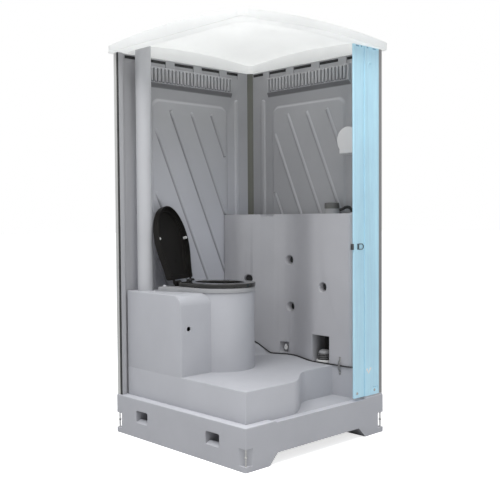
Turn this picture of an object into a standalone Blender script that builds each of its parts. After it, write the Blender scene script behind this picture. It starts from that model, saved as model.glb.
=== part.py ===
"""Portable flush toilet cabin, shown open: door and left wall are taken off.

Metres, +Z up. The origin is the centre of the base's underside, the front faces -Y.
"""

import bmesh
import bpy
from math import asin, atan2, cos, pi, radians, sin, sqrt
from mathutils import Matrix, Vector

GAP = 0.0003            # clearance between pieces that touch
RUN_GAP = 0.0006        # clearance between pieces that turn
WELD = 0.00001          # corners closer than this are one corner
OVERRUN = 0.02          # how far a cutter runs past what it cuts
ROUND_STEPS = 28        # sides of a large round piece
MIDDLE_STEPS = 16       # sides of a middling round piece
SMALL_STEPS = 12        # sides of a small round piece

# Base
BASE_HALF = 0.550
BASE_HEIGHT = 0.222
BASE_CORNER = 0.006
RIM_WIDTH = 0.0485
TRAY_FLOOR = 0.190
DECK_SKIN = 0.008
FORK_HEIGHT = 0.058
FORK_HALF_FOOT_SHARE = 0.70
FORK_FLARE = 0.060
POCKET_CENTRE_SHARE = 0.55
POCKET_WIDTH = 0.105
POCKET_LOW = 0.086
POCKET_HEIGHT = 0.070
POCKET_CORNER = 0.010
CELL_WALL = 0.012
CELL_COLUMNS = 3
LASH_SIZE = 0.050
LASH_LOW = 0.028
LASH_HEIGHT = 0.088
LASH_PIN_RADIUS = 0.004
LASH_RING_RADIUS = 0.008
LASH_PIN_INSET = 0.013
THRESHOLD_DROP = 0.009
THRESHOLD_INSET = 0.1515
THRESHOLD_RUN = 0.020
JAMB_PAD_HEIGHT = 0.008

FORK_HALF_FOOT = BASE_HALF * FORK_HALF_FOOT_SHARE
FORK_HALF_TOP = FORK_HALF_FOOT - FORK_FLARE
POCKET_CENTRE = BASE_HALF * POCKET_CENTRE_SHARE
TRAY_HALF = BASE_HALF - RIM_WIDTH
THRESHOLD_LEFT = THRESHOLD_INSET - TRAY_HALF

# Walls, posts and jamb, all set in from the edge of the base
POST_SETBACK = 0.004
POST_WIDTH = 0.044
POST_CORNER = 0.006
POST_BORE_INSET = 0.0175
POST_BORE = 0.021
GROOVE_DEPTH = 0.009
POST_CHAMFER = 0.010
WALL_SETBACK = 0.012
WALL_PLATE = 0.022
WALL_PANEL_RISE = 0.006
WALL_RIDGE_RISE = 0.003
WALL_TOP = 2.1997
POST_OUTER = BASE_HALF - POST_SETBACK
POST_INNER = POST_OUTER - POST_WIDTH
WALL_INNER = BASE_HALF - WALL_SETBACK - WALL_PLATE

PANEL_INSET = 0.194
PANEL_LOW = 0.330
PANEL_TOP = 1.955
PANEL_CORNER = 0.060
PANEL_CHAMFER = 0.005
LOUVRE_INSET = 0.168
LOUVRE_LOW = 2.062
LOUVRE_TOP = 2.140
LOUVRE_BLOCK_LOW = 2.036
LOUVRE_MARGIN = 0.012
LOUVRE_RISE = 0.010
LOUVRE_CHAMFER = 0.007
LOUVRE_COUNT = 24
LOUVRE_SLOT_SHARE = 0.42
VENT_LOW = 2.176
VENT_TOP = 2.192
VENT_SILL = 0.022
VENT_SILL_DEPTH = 0.007
VENT_WEB = 0.004
VENT_CENTRE_SHARES = (0.713, 0.339, -0.092, -0.522, -0.876)
VENT_LENGTH_SHARES = (0.199, 0.299, 0.299, 0.299, 0.191)
STILE_INSET = 0.110
STILE_WIDTH = 0.044
STILE_LOW = 0.360
STILE_TOP = 2.020
RIDGE_WIDTH = 0.022
RIDGE_CHAMFER = 0.006
RIDGE_LOW = 0.420
RIDGE_TOP = 1.905
RIDGE_LEAN = 0.436
RIDGE_SPACING = 0.164
RIDGE_MARGIN = 0.030
RIDGE_START = 0.104
PANEL_HALF_WIDTH = POST_INNER - PANEL_INSET
LOUVRE_HALF_WIDTH = POST_INNER - LOUVRE_INSET
STILE_CENTRE = POST_INNER - STILE_INSET

JAMB_WIDTH = 0.2203
JAMB_STEP_WIDTH = 0.1186
JAMB_LIP = 0.003
JAMB_LAP = 0.0165
JAMB_EDGE_DEPTH = 0.010
JAMB_BACK_SETBACK = 0.004
JAMB_STEP = 0.004
JAMB_WALL = 0.005
JAMB_PAD_INSET = 0.1017
EMBOSS_INSET = 0.068
EMBOSS_WIDTH = 0.046
EMBOSS_LOW = 0.336
EMBOSS_TOP = 2.112
EMBOSS_DEPTH = 0.0025
KEEPER_LEVEL = 1.081
KEEPER_HEIGHT = 0.033
KEEPER_FRONT = 0.091
KEEPER_BACK = 0.023
KEEPER_THICKNESS = 0.004
KEEPER_HOLE = 0.022
JAMB_BOLT_SHARES = (0.151, 0.841)
JAMB_BOLT_RISE = 0.034
BOLT_RADIUS = 0.0075
BOLT_HEIGHT = 0.005
JAMB_LEFT = POST_INNER - JAMB_WIDTH
JAMB_STEP_X = POST_INNER - JAMB_STEP_WIDTH
JAMB_FRONT = POST_OUTER + GAP + JAMB_LIP
JAMB_BACK = WALL_INNER - JAMB_BACK_SETBACK
JAMB_PAD_LEFT = JAMB_LEFT + JAMB_PAD_INSET
EMBOSS_CENTRE = POST_INNER - EMBOSS_INSET
KEEPER_REACH = JAMB_LEFT + KEEPER_FRONT
KEEPER_BACK_REACH = JAMB_LEFT + KEEPER_BACK

# Waste tank: entry floor, step, bench and pedestal in one moulding
TANK_WALL = 0.006
TANK_HALF = TRAY_HALF - GAP
TANK_BOTTOM = TRAY_FLOOR + GAP
FLOOR_LEVEL = 0.2135
STEP_LEVEL = 0.386
BENCH_LEVEL = 0.828
STEP_FRONT_LEFT = -0.170
STEP_FRONT_RIGHT = 0.130
FLOOR_DEPTH = 0.1662
BENCH_WIDTH_SHARE = 0.55
BENCH_ROUND = 0.062
CURB_TOP = 0.452
CURB_LENGTH = 0.3062
CURB_RUN = 0.075
CURB_GAP = 0.0025
PEDESTAL_RADIUS = 0.190
PEDESTAL_OPENING = 0.152
BUNG_INSET = 0.055
BUNG_LEVEL = 0.644
BUNG_RADIUS = 0.013
STEP_BACK_Y = FLOOR_DEPTH - TANK_HALF
CURB_FRONT_Y = TANK_HALF - CURB_LENGTH
BUNG_X = BUNG_INSET - TANK_HALF

# Vent pipe in the left rear corner
PIPE_INSET_X = 0.0812
PIPE_INSET_Y = 0.0712
PIPE_RADIUS = 0.045
PIPE_WALL = 0.003
PIPE_INSERT = 0.020
PIPE_TOP = 2.240
PIPE_X = PIPE_INSET_X - TANK_HALF
PIPE_Y = TANK_HALF - PIPE_INSET_Y

# Toilet: everything about the bowl is set out from its own axis, turned towards the door
TOILET_FROM_PIPE_X = 0.298
TOILET_FROM_PIPE_Y = 0.330
TOILET_TURN = radians(22.0)
BENCH_FRONT_OFFSET = 0.095
TOILET_X = PIPE_X + TOILET_FROM_PIPE_X
TOILET_Y = PIPE_Y - TOILET_FROM_PIPE_Y
BENCH_FRONT_Y = TOILET_Y - BENCH_FRONT_OFFSET
DECK_THICKNESS = 0.0235
DECK_RADIUS = 0.196
DECK_HALF_BACK = 0.172
DECK_BACK = 0.325
DECK_HOLE_A = 0.150
DECK_HOLE_B = 0.118
DECK_EDGE = 0.005
DECK_CORNER = 0.006
BOWL_FLANGE = 0.166
BOWL_FLANGE_THICKNESS = 0.005
BOWL_RIM_RADIUS = 0.144
BOWL_OUTLET_RADIUS = 0.055
BOWL_OUTLET_LEVEL = 0.596
BOWL_WAIST_LEVEL = 0.650
BOWL_WAIST_RADIUS = 0.078
BOWL_WALL = 0.004
FLAP_THICKNESS = 0.004
FLAP_PIN_RADIUS = 0.003
FLAP_PIN_BACK = 0.070
FLAP_EAR_HALF = 0.034
FLAP_EAR_WIDTH = 0.008
FLAP_KNUCKLE_RADIUS = 0.007

HINGE_BACK = 0.246
HINGE_RISE = 0.021
HINGE_PIN_RADIUS = 0.005
HINGE_KNUCKLE_RADIUS = 0.012
HINGE_LUG_WIDTH = 0.020
HINGE_INNER = 0.050
SEAT_LIFT = 0.0035
SEAT_THICKNESS = 0.022
SEAT_TIP = 0.448
SEAT_HALF_WIDTH = 0.178
SEAT_REAR = 0.030
SEAT_HALF_REAR = 0.120
SEAT_EDGE = 0.007
SEAT_HOLE_A = 0.150
SEAT_HOLE_B = 0.106
SEAT_HOLE_FORWARD = 0.235
SEAT_BUMPER_SHARES = ((-0.815, 0.335), (0.815, 0.335), (-0.562, 0.837), (0.562, 0.837))
LID_TIP = 0.460
LID_HALF_WIDTH = 0.170
LID_REAR = 0.020
LID_HALF_REAR = 0.128
LID_DEPTH = 0.042
LID_WALL = 0.004
LID_EDGE = 0.014
LID_LEDGE = 0.026
LID_LEDGE_DEPTH = 0.022
LID_GAP = 0.0015
LID_OPEN = radians(103.0)
OVAL_WIDEST_SHARE = 0.50
BUMPER_RADIUS = 0.008
BOLT_CAP_RADIUS = 0.012
BOLT_CAP_HEIGHT = 0.011
BOLT_CAP_HALF_SPAN = 0.148
BOLT_CAP_BACK = 0.292
DECK_LOW = BENCH_LEVEL + GAP
DECK_TOP = DECK_LOW + DECK_THICKNESS
HINGE_Z = DECK_TOP + HINGE_RISE

# Flush water tank on the right wall; its places along the wall are shares of its length
WATER_DEPTH = 0.1495
WATER_RECESS = 0.082
WATER_REAR_SWELL = 0.172
WATER_NEAR_SETBACK = 0.0165
WATER_NEAR_ROUND = 0.030
WATER_WAVE_START_SHARE = 0.284
WATER_WAVE_END_SHARE = 0.563
WATER_BAY_END_SHARE = 0.575
WATER_REAR_START_SHARE = 0.897
WATER_TOP = 1.268
WATER_WALL = 0.006
WATER_EDGE = 0.008
DIMPLE_RADIUS = 0.024
DIMPLE_DEPTH = 0.021
DIMPLE_SHARES = ((0.808, 0.536), (0.577, 0.676), (0.229, 0.510), (0.568, 0.345))
PUMP_BAY_SHARE = 0.2463
PUMP_BAY_WIDTH = 0.134
PUMP_BAY_TOP = 0.550
PUMP_BAY_DEPTH = 0.116
DRAIN_BAY_SHARE = 0.6168
DRAIN_BAY_WIDTH = 0.058
DRAIN_BAY_LOW = 0.3975
DRAIN_BAY_TOP = 0.466
DRAIN_BAY_DEPTH = 0.042
GRIP_SHARE = 0.7098
GRIP_WIDTH = 0.062
GRIP_DEPTH = 0.030
GRIP_HEIGHT = 0.014
WATER_BACK_X = TRAY_HALF
WATER_FAR_Y = TANK_HALF
WATER_NEAR_Y = WATER_NEAR_SETBACK - TRAY_HALF
WATER_LENGTH = WATER_FAR_Y - WATER_NEAR_Y
WATER_FACE_X = WATER_BACK_X - WATER_DEPTH
WATER_RECESS_X = WATER_FACE_X + WATER_RECESS
WATER_REAR_X = WATER_RECESS_X - WATER_REAR_SWELL
WATER_WAVE_START_Y = WATER_NEAR_Y + WATER_LENGTH * WATER_WAVE_START_SHARE
WATER_WAVE_END_Y = WATER_NEAR_Y + WATER_LENGTH * WATER_WAVE_END_SHARE
WATER_BAY_END_Y = WATER_NEAR_Y + WATER_LENGTH * WATER_BAY_END_SHARE
WATER_REAR_START_Y = WATER_NEAR_Y + WATER_LENGTH * WATER_REAR_START_SHARE
WATER_BOTTOM = STEP_LEVEL + GAP
PUMP_BAY_Y = WATER_NEAR_Y + WATER_LENGTH * PUMP_BAY_SHARE
DRAIN_BAY_Y = WATER_NEAR_Y + WATER_LENGTH * DRAIN_BAY_SHARE
GRIP_Y = WATER_NEAR_Y + WATER_LENGTH * GRIP_SHARE
FLOOR_RIGHT = WATER_FACE_X
BENCH_RIGHT_X = 2 * TANK_HALF * BENCH_WIDTH_SHARE - TANK_HALF
CURB_LEFT_X = BENCH_RIGHT_X - TANK_WALL

NECK_FROM_BACK = 0.0715
NECK_FROM_NEAR = 0.218
NECK_RADIUS = 0.049
NECK_HEIGHT = 0.038
NECK_BORE = 0.038
NECK_LIP_RADIUS = 0.044
CAP_RADIUS = 0.0445
CAP_HEIGHT = 0.036
CAP_WALL = 0.003
CAP_RIBS = 12
CAP_RIB_DEPTH = 0.0018
NECK_X = WATER_BACK_X - NECK_FROM_BACK
NECK_Y = WATER_NEAR_Y + NECK_FROM_NEAR
OVERFLOW_RADIUS = 0.0085
# Points of the overflow hose's route, measured from the middle of the neck at the tank's top
OVERFLOW_ROUTE = (
    (0.020, -0.047, 0.023), (0.020, -0.056, 0.023), (0.021, -0.069, 0.034), (0.022, -0.082, 0.050),
    (0.023, -0.095, 0.058), (0.024, -0.109, 0.054), (0.025, -0.121, 0.041), (0.026, -0.128, 0.022),
    (0.026, -0.128, 0.0075),
)

PUMP_INSET = 0.053
PUMP_OFFSET = 0.012
PUMP_BASE_RADIUS = 0.050
PUMP_BASE_HEIGHT = 0.016
PUMP_RIM_WALL = 0.004
PUMP_BELLOWS_RADIUS = 0.043
PUMP_BELLOWS_WAIST = 0.034
PUMP_BELLOWS_HEIGHT = 0.048
PUMP_FOLDS = 4
PUMP_CAP_RADIUS = 0.036
PUMP_CAP_HEIGHT = 0.020

VALVE_RADIUS = 0.011
VALVE_LENGTH = 0.022
KNOB_RADIUS = 0.0140
KNOB_TIP = 0.021
KNOB_TIP_RADIUS = 0.0045
KNOB_THICKNESS = 0.010

HOSE_RADIUS = 0.0035
HOSE_OFF_FACE = 0.0055
HOSE_OFF_FLOOR = 0.0045
HOSE_POINTS = 40
HOSE_SPANS = 12
FITTING_RADIUS = 0.008
FITTING_LENGTH = 0.016
STRAP_FROM_NEAR = 0.093
STRAP_WIDTH = 0.017
STRAP_LOW = 0.338
STRAP_HIGH = 0.440
STRAP_THICKNESS = 0.0025
STRAP_STANDOFF = 0.0100
STRAP_FOOT = 0.020
STRAP_SCREW_RADIUS = 0.0042
STRAP_SCREW_HEIGHT = 0.0025
STRAP_Y = WATER_NEAR_Y + STRAP_FROM_NEAR

# Paper dispenser on the right wall
DISPENSER_FROM_POST = 0.090
DISPENSER_LEVEL = 1.689
DISPENSER_RADIUS = 0.076
DISPENSER_FOOT = 0.077
DISPENSER_HALF_FOOT = 0.058
DISPENSER_DEPTH = 0.124
DISPENSER_WALL = 0.003
DISPENSER_COVER_DEPTH = 0.018
DISPENSER_SLOT_WIDTH = 0.020
ROLL_RADIUS = 0.056
ROLL_WIDTH = 0.086
ROLL_CORE = 0.018
SPINDLE_RADIUS = 0.0165
DISPENSER_Y = DISPENSER_FROM_POST - POST_INNER
DISPENSER_FRONT_X = WALL_INNER - DISPENSER_DEPTH

# Roof
ROOF_OVERHANG = 0.028
ROOF_CORNER = 0.045
ROOF_EDGE_Z = 2.232
ROOF_ARCH = 0.032
ROOF_CROWN = 0.032
ROOF_SKIN = 0.006
ROOF_RIM = 0.078
ROOF_WELL_CORNER = 0.060
ROOF_GRID = 9
HEADER_ARCH = 0.020
HEADER_INSET = 0.062
ROOF_HALF = BASE_HALF + ROOF_OVERHANG
ROOF_WELL_HALF = ROOF_HALF - ROOF_RIM
HEADER_HALF = POST_INNER - HEADER_INSET
ROOF_LIMIT = ROOF_EDGE_Z + ROOF_ARCH * 3 + ROOF_CROWN

GREY = (0.392, 0.397, 0.423, 1.0)
WALL_GREY = (0.275, 0.278, 0.290, 1.0)
POST_GREY = (0.300, 0.302, 0.290, 1.0)
PALE_GREY = (0.560, 0.565, 0.590, 1.0)
BLACK = (0.012, 0.012, 0.013, 1.0)
RUBBER = (0.020, 0.020, 0.020, 1.0)
WHITE = (0.800, 0.800, 0.790, 1.0)
BLUE = (0.480, 0.745, 0.910, 1.0)
STEEL = (0.420, 0.420, 0.420, 1.0)
PAPER = (0.850, 0.845, 0.820, 1.0)

PARTS = bpy.data.collections.new("portable_flush_toilet")
CUTTERS = bpy.data.collections.new("cutters")


def clear_scene():
    for obj in list(bpy.data.objects):
        bpy.data.objects.remove(obj, do_unlink=True)
    for collection in (PARTS, CUTTERS):
        bpy.context.scene.collection.children.link(collection)


def material(name, colour, roughness, metallic=0.0):
    made = bpy.data.materials.new(name)
    made.use_nodes = True
    shader = made.node_tree.nodes["Principled BSDF"]
    shader.inputs["Base Color"].default_value = colour
    shader.inputs["Roughness"].default_value = roughness
    shader.inputs["Metallic"].default_value = metallic
    return made


def add_object(name, data, look=None, matrix=None, collection=None):
    obj = bpy.data.objects.new(name, data)
    (collection or PARTS).objects.link(obj)
    if look is not None:
        data.materials.append(look)
    if matrix is not None:
        obj.matrix_world = matrix
    return obj


def smooth(obj):
    obj.data.shade_smooth()
    obj.data.set_sharp_from_angle(angle=radians(35.0))


def mesh_from(bm, name):
    bmesh.ops.recalc_face_normals(bm, faces=bm.faces)
    mesh = bpy.data.meshes.new(name)
    bm.to_mesh(mesh)
    bm.free()
    return mesh


def box(name, low, high, look=None, matrix=None, collection=None):
    """A box between two corners, with its origin at its own centre."""
    low, high = Vector(low), Vector(high)
    bm = bmesh.new()
    bmesh.ops.create_cube(bm, size=1, matrix=Matrix.Diagonal((high - low).to_4d()))
    place = Matrix.Translation((low + high) / 2)
    return add_object(name, mesh_from(bm, name), look, (matrix or Matrix()) @ place, collection)


def boxes(name, corners):
    """Several separate boxes in one cutter."""
    bm = bmesh.new()
    for low, high in corners:
        low, high = Vector(low), Vector(high)
        place = Matrix.Translation((low + high) / 2) @ Matrix.Diagonal((high - low).to_4d())
        bmesh.ops.create_cube(bm, size=1, matrix=place)
    return add_object(name, mesh_from(bm, name), collection=CUTTERS)


def cylinder(name, radius, start, end, look=None, matrix=None, top_radius=None,
             steps=SMALL_STEPS, collection=None):
    """A cylinder or cone between two points, with its origin halfway along its axis."""
    start, end = Vector(start), Vector(end)
    bm = bmesh.new()
    bmesh.ops.create_cone(bm, cap_ends=True, segments=steps, radius1=radius,
                          radius2=radius if top_radius is None else top_radius,
                          depth=(end - start).length)
    turn = (end - start).to_track_quat("Z", "Y").to_matrix().to_4x4()
    place = Matrix.Translation((start + end) / 2) @ turn
    obj = add_object(name, mesh_from(bm, name), look, (matrix or Matrix()) @ place, collection)
    smooth(obj)
    return obj


def apply_to_mesh(obj):
    """Replaces a curve, or a mesh with modifiers, by its finished closed mesh."""
    bpy.context.view_layer.update()
    finished = bpy.data.meshes.new_from_object(obj.evaluated_get(bpy.context.evaluated_depsgraph_get()))
    bm = bmesh.new()
    bm.from_mesh(finished)
    bmesh.ops.remove_doubles(bm, verts=bm.verts, dist=WELD)
    bmesh.ops.recalc_face_normals(bm, faces=bm.faces)
    bm.to_mesh(finished)
    bm.free()
    name, place, home = obj.name, obj.matrix_world.copy(), obj.users_collection[0]
    bpy.data.objects.remove(obj, do_unlink=True)
    made = bpy.data.objects.new(name, finished)
    home.objects.link(made)
    made.matrix_world = place
    return made


def plate(name, outlines, low, high, look=None, matrix=None, collection=None):
    """A flat outline, with any holes, extruded between two levels along its own Z."""
    curve = bpy.data.curves.new(name, "CURVE")
    curve.dimensions = "2D"
    curve.fill_mode = "BOTH"
    curve.extrude = (high - low) / 2
    for outline in outlines:
        spline = curve.splines.new("POLY")
        spline.points.add(len(outline) - 1)
        for point, (x, y) in zip(spline.points, outline):
            point.co = (x, y, 0, 1)
        spline.use_cyclic_u = True
    place = (matrix or Matrix()) @ Matrix.Translation((0, 0, (low + high) / 2))
    obj = apply_to_mesh(add_object(name, curve, None, place, collection))
    bm = bmesh.new()
    bm.from_mesh(obj.data)
    bmesh.ops.dissolve_limit(bm, angle_limit=radians(1.0), verts=bm.verts, edges=bm.edges)
    bm.to_mesh(obj.data)
    bm.free()
    if look is not None:
        obj.data.materials.append(look)
    return obj


def turned(name, profile, look=None, matrix=None, steps=ROUND_STEPS, closed=True, collection=None):
    """A profile of (radius, height) points turned about Z; closed joins its ends to a ring."""
    bm = bmesh.new()
    corners = [bm.verts.new((r, 0, z)) for r, z in profile]
    for a, b in zip(corners, corners[1:]):
        bm.edges.new((a, b))
    if closed:
        bm.edges.new((corners[-1], corners[0]))
    mesh = bpy.data.meshes.new(name)
    bm.to_mesh(mesh)
    bm.free()
    obj = add_object(name, mesh, None, matrix, collection)
    screw = obj.modifiers.new("turn", "SCREW")
    screw.steps = steps
    screw.render_steps = steps
    screw.use_merge_vertices = True
    screw.merge_threshold = WELD
    obj = apply_to_mesh(obj)
    if look is not None:
        obj.data.materials.append(look)
    smooth(obj)
    return obj


def tube(name, points, radius, look, resolution=2, collection=None):
    """A round tube along a list of points, with closed ends."""
    curve = bpy.data.curves.new(name, "CURVE")
    curve.dimensions = "3D"
    curve.bevel_depth = radius
    curve.bevel_resolution = resolution
    curve.use_fill_caps = True
    spline = curve.splines.new("POLY")
    spline.points.add(len(points) - 1)
    for point, place in zip(spline.points, points):
        point.co = (*place, 1)
    obj = add_object(name, curve, None, None, collection)
    obj = apply_to_mesh(obj)
    obj.data.materials.append(look)
    smooth(obj)
    return obj


def combine(target, other, operation):
    """Adds an EXACT Boolean; the other object becomes a hidden wire guide."""
    for collection in list(other.users_collection):
        collection.objects.unlink(other)
    CUTTERS.objects.link(other)
    other.hide_render = True
    other.display_type = "WIRE"
    step = target.modifiers.new(other.name, "BOOLEAN")
    step.operation = operation
    step.solver = "EXACT"
    step.object = other


def cut(target, *others):
    for other in others:
        combine(target, other, "DIFFERENCE")


def join(target, *others):
    for other in others:
        combine(target, other, "UNION")


def round_edges(obj, width, segments=2, angle=50.0):
    bevel = obj.modifiers.new("edges", "BEVEL")
    bevel.width = width
    bevel.segments = segments
    bevel.limit_method = "ANGLE"
    bevel.angle_limit = radians(angle)
    bevel.use_clamp_overlap = True


def ease(t):
    return t * t * (3 - 2 * t)


def arc(centre_x, centre_y, radius_x, radius_y, start, end, steps):
    return [
        (centre_x + radius_x * cos(start + (end - start) * i / steps),
         centre_y + radius_y * sin(start + (end - start) * i / steps))
        for i in range(steps + 1)
    ]


def rounded_rectangle(left, low, right, top, radius, steps=5):
    return (
        arc(right - radius, low + radius, radius, radius, -pi / 2, 0, steps)
        + arc(right - radius, top - radius, radius, radius, 0, pi / 2, steps)
        + arc(left + radius, top - radius, radius, radius, pi / 2, pi, steps)
        + arc(left + radius, low + radius, radius, radius, pi, 3 * pi / 2, steps)
    )


# Placing frames: the toilet's own axes, and a plate standing in a wall
TOILET = Matrix.Translation((TOILET_X, TOILET_Y, 0)) @ Matrix.Rotation(TOILET_TURN, 4, "Z")
REAR_FRAME = Matrix.Rotation(pi / 2, 4, "X")
SIDE_FRAME = Matrix.Rotation(pi / 2, 4, "Z") @ Matrix.Rotation(pi / 2, 4, "X")


def build_base(look):
    """The moulded base; it is made tall and cut flat below, so only its upper edges are round."""
    base = box("base_skid", (-BASE_HALF, -BASE_HALF, -2 * BASE_CORNER), (BASE_HALF, BASE_HALF, BASE_HEIGHT),
               look)
    round_edges(base, BASE_CORNER, 3)
    edge = BASE_HALF - BASE_CORNER / 2
    inner = -TRAY_HALF - GAP
    seat_low, seat_high = WALL_INNER - GAP, WALL_INNER + WALL_PLATE + GAP
    seat_end = -POST_INNER - GROOVE_DEPTH
    pad = plate("jamb_pad", [[(JAMB_PAD_LEFT, -edge), (edge - 2 * BASE_CORNER, -edge),
                              (edge, -edge + 2 * BASE_CORNER), (edge, inner), (seat_high, inner),
                              (seat_high, seat_end), (seat_low, seat_end), (seat_low, inner),
                              (JAMB_PAD_LEFT, inner)]],
                BASE_HEIGHT - BASE_CORNER, BASE_HEIGHT + JAMB_PAD_HEIGHT)
    join(base, pad)
    reach = BASE_HALF + OVERRUN
    foot = box("foot_plane", (-reach, -reach, -OVERRUN), (reach, reach, 0))
    tray = box("tray", (-TRAY_HALF, -TRAY_HALF, TRAY_FLOOR),
               (TRAY_HALF, TRAY_HALF, BASE_HEIGHT + OVERRUN))
    slant = THRESHOLD_RUN / THRESHOLD_DROP
    sill = plate("threshold", [[(THRESHOLD_LEFT - OVERRUN * slant, BASE_HEIGHT + OVERRUN),
                                (THRESHOLD_LEFT + THRESHOLD_RUN, BASE_HEIGHT - THRESHOLD_DROP),
                                (JAMB_PAD_LEFT - GAP, BASE_HEIGHT - THRESHOLD_DROP),
                                (JAMB_PAD_LEFT - GAP, BASE_HEIGHT + OVERRUN)]],
                 TRAY_HALF - OVERRUN, reach, matrix=REAR_FRAME)
    flare = FORK_FLARE / FORK_HEIGHT * OVERRUN
    fork = plate("fork_gap", [[(-FORK_HALF_FOOT - flare, -OVERRUN), (FORK_HALF_FOOT + flare, -OVERRUN),
                               (FORK_HALF_TOP, FORK_HEIGHT), (-FORK_HALF_TOP, FORK_HEIGHT)]],
                 -reach, reach, matrix=REAR_FRAME)
    cut(base, foot, tray, sill, fork)
    for side in (-1, 1):
        middle = side * POCKET_CENTRE
        outline = rounded_rectangle(middle - POCKET_WIDTH / 2, POCKET_LOW, middle + POCKET_WIDTH / 2,
                                    POCKET_LOW + POCKET_HEIGHT, POCKET_CORNER, 2)
        cut(base, plate("side_pocket", [outline], -reach, reach, matrix=SIDE_FRAME))

    # Cells under the deck, with ribs between them and a solid way round each side pocket
    near_pocket, far_pocket = POCKET_CENTRE - POCKET_WIDTH / 2, POCKET_CENTRE + POCKET_WIDTH / 2
    rows = ((-BASE_HALF, -far_pocket), (-near_pocket, 0), (0, near_pocket), (far_pocket, BASE_HALF))
    column = 2 * FORK_HALF_TOP / CELL_COLUMNS
    cells = []
    for low_y, high_y in rows:
        for i in range(CELL_COLUMNS):
            low_x = -FORK_HALF_TOP + i * column
            cells.append(((low_x + CELL_WALL, low_y + CELL_WALL, FORK_HEIGHT - CELL_WALL),
                          (low_x + column - CELL_WALL, high_y - CELL_WALL, TRAY_FLOOR - DECK_SKIN)))
    cut(base, boxes("deck_cells", cells))

    # Each corner is cut off square to its diagonal, behind the lashing pin
    back = BASE_HALF - LASH_SIZE - OVERRUN
    for quarter in range(4):
        cut(base, plate("lashing_notch", [[(back, reach), (reach, back), (reach, reach)]], LASH_LOW,
                        LASH_LOW + LASH_HEIGHT, matrix=Matrix.Rotation(quarter * pi / 2, 4, "Z")))
    return base


def build_lashing_pins(look):
    """A thin upright pin with a ring at its middle across each corner notch."""
    low, high = LASH_LOW + GAP, LASH_LOW + LASH_HEIGHT - GAP
    middle, bulge = (low + high) / 2, LASH_RING_RADIUS - LASH_PIN_RADIUS
    places = ((-1, -1, "front_left"), (1, -1, "front_right"), (-1, 1, "rear_left"), (1, 1, "rear_right"))
    for side_x, side_y, name in places:
        x, y = side_x * (BASE_HALF - LASH_PIN_INSET), side_y * (BASE_HALF - LASH_PIN_INSET)
        turned("lashing_pin_" + name, [
            (0, high), (LASH_PIN_RADIUS, high), (LASH_PIN_RADIUS, middle + 2 * bulge),
            (LASH_RING_RADIUS, middle + bulge), (LASH_RING_RADIUS, middle - bulge),
            (LASH_PIN_RADIUS, middle - 2 * bulge), (LASH_PIN_RADIUS, low), (0, low),
        ], look, Matrix.Translation((x, y, 0)), SMALL_STEPS, closed=False)


def step_outline(inset):
    """Plan of the step platform: square at the back, an S-curve down to the entry floor in front."""
    half = TANK_HALF - inset
    steps = 10
    curve = []
    for i in range(steps + 1):
        t = i / steps
        x = STEP_FRONT_LEFT + (STEP_FRONT_RIGHT - STEP_FRONT_LEFT) * t
        curve.append((x - inset, -half + (STEP_BACK_Y + inset + half) * ease(t)))
    return ([(-half, half), (-half, -half)] + curve
            + [(FLOOR_RIGHT + inset, STEP_BACK_Y + inset), (FLOOR_RIGHT + inset, -half),
               (half, -half), (half, half)])


def bench_profile(inset):
    """Side view of the bench, with its front top edge rounded; (Y, Z) points."""
    radius = BENCH_ROUND - inset
    front, top = BENCH_FRONT_Y + inset, BENCH_LEVEL - inset
    low = STEP_LEVEL - TANK_WALL - inset
    return ([(front, low), (TANK_HALF - inset, low), (TANK_HALF - inset, top)]
            + arc(front + radius, top - radius, radius, radius, pi / 2, pi, 6))


def tank_form(name, inset, low, collection=None):
    """The outer form of the waste tank, or with an inset the hollow inside it."""
    body = plate(name, [step_outline(inset)], low, STEP_LEVEL - inset, collection=collection)
    bench = plate(name + "_bench", [bench_profile(inset)], -TANK_HALF + inset, BENCH_RIGHT_X - inset,
                  matrix=SIDE_FRAME)
    pedestal = cylinder(name + "_pedestal", PEDESTAL_RADIUS - inset,
                        (TOILET_X, TOILET_Y, STEP_LEVEL - TANK_WALL - inset),
                        (TOILET_X, TOILET_Y, BENCH_LEVEL - inset), steps=ROUND_STEPS)
    join(body, bench, pedestal)
    return body


def water_face(y):
    """X of the water tank's front face at a place along the wall."""
    if y < WATER_WAVE_START_Y:
        return WATER_FACE_X
    if y < WATER_WAVE_END_Y:
        t = (y - WATER_WAVE_START_Y) / (WATER_WAVE_END_Y - WATER_WAVE_START_Y)
        return WATER_FACE_X + (WATER_RECESS_X - WATER_FACE_X) * ease(t)
    if y < WATER_BAY_END_Y:
        return WATER_RECESS_X
    t = min(1, (y - WATER_BAY_END_Y) / (WATER_REAR_START_Y - WATER_BAY_END_Y))
    return WATER_RECESS_X + (WATER_REAR_X - WATER_RECESS_X) * ease(t)


def spread(low, high, count):
    return [low + (high - low) * i / count for i in range(count + 1)]


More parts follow.
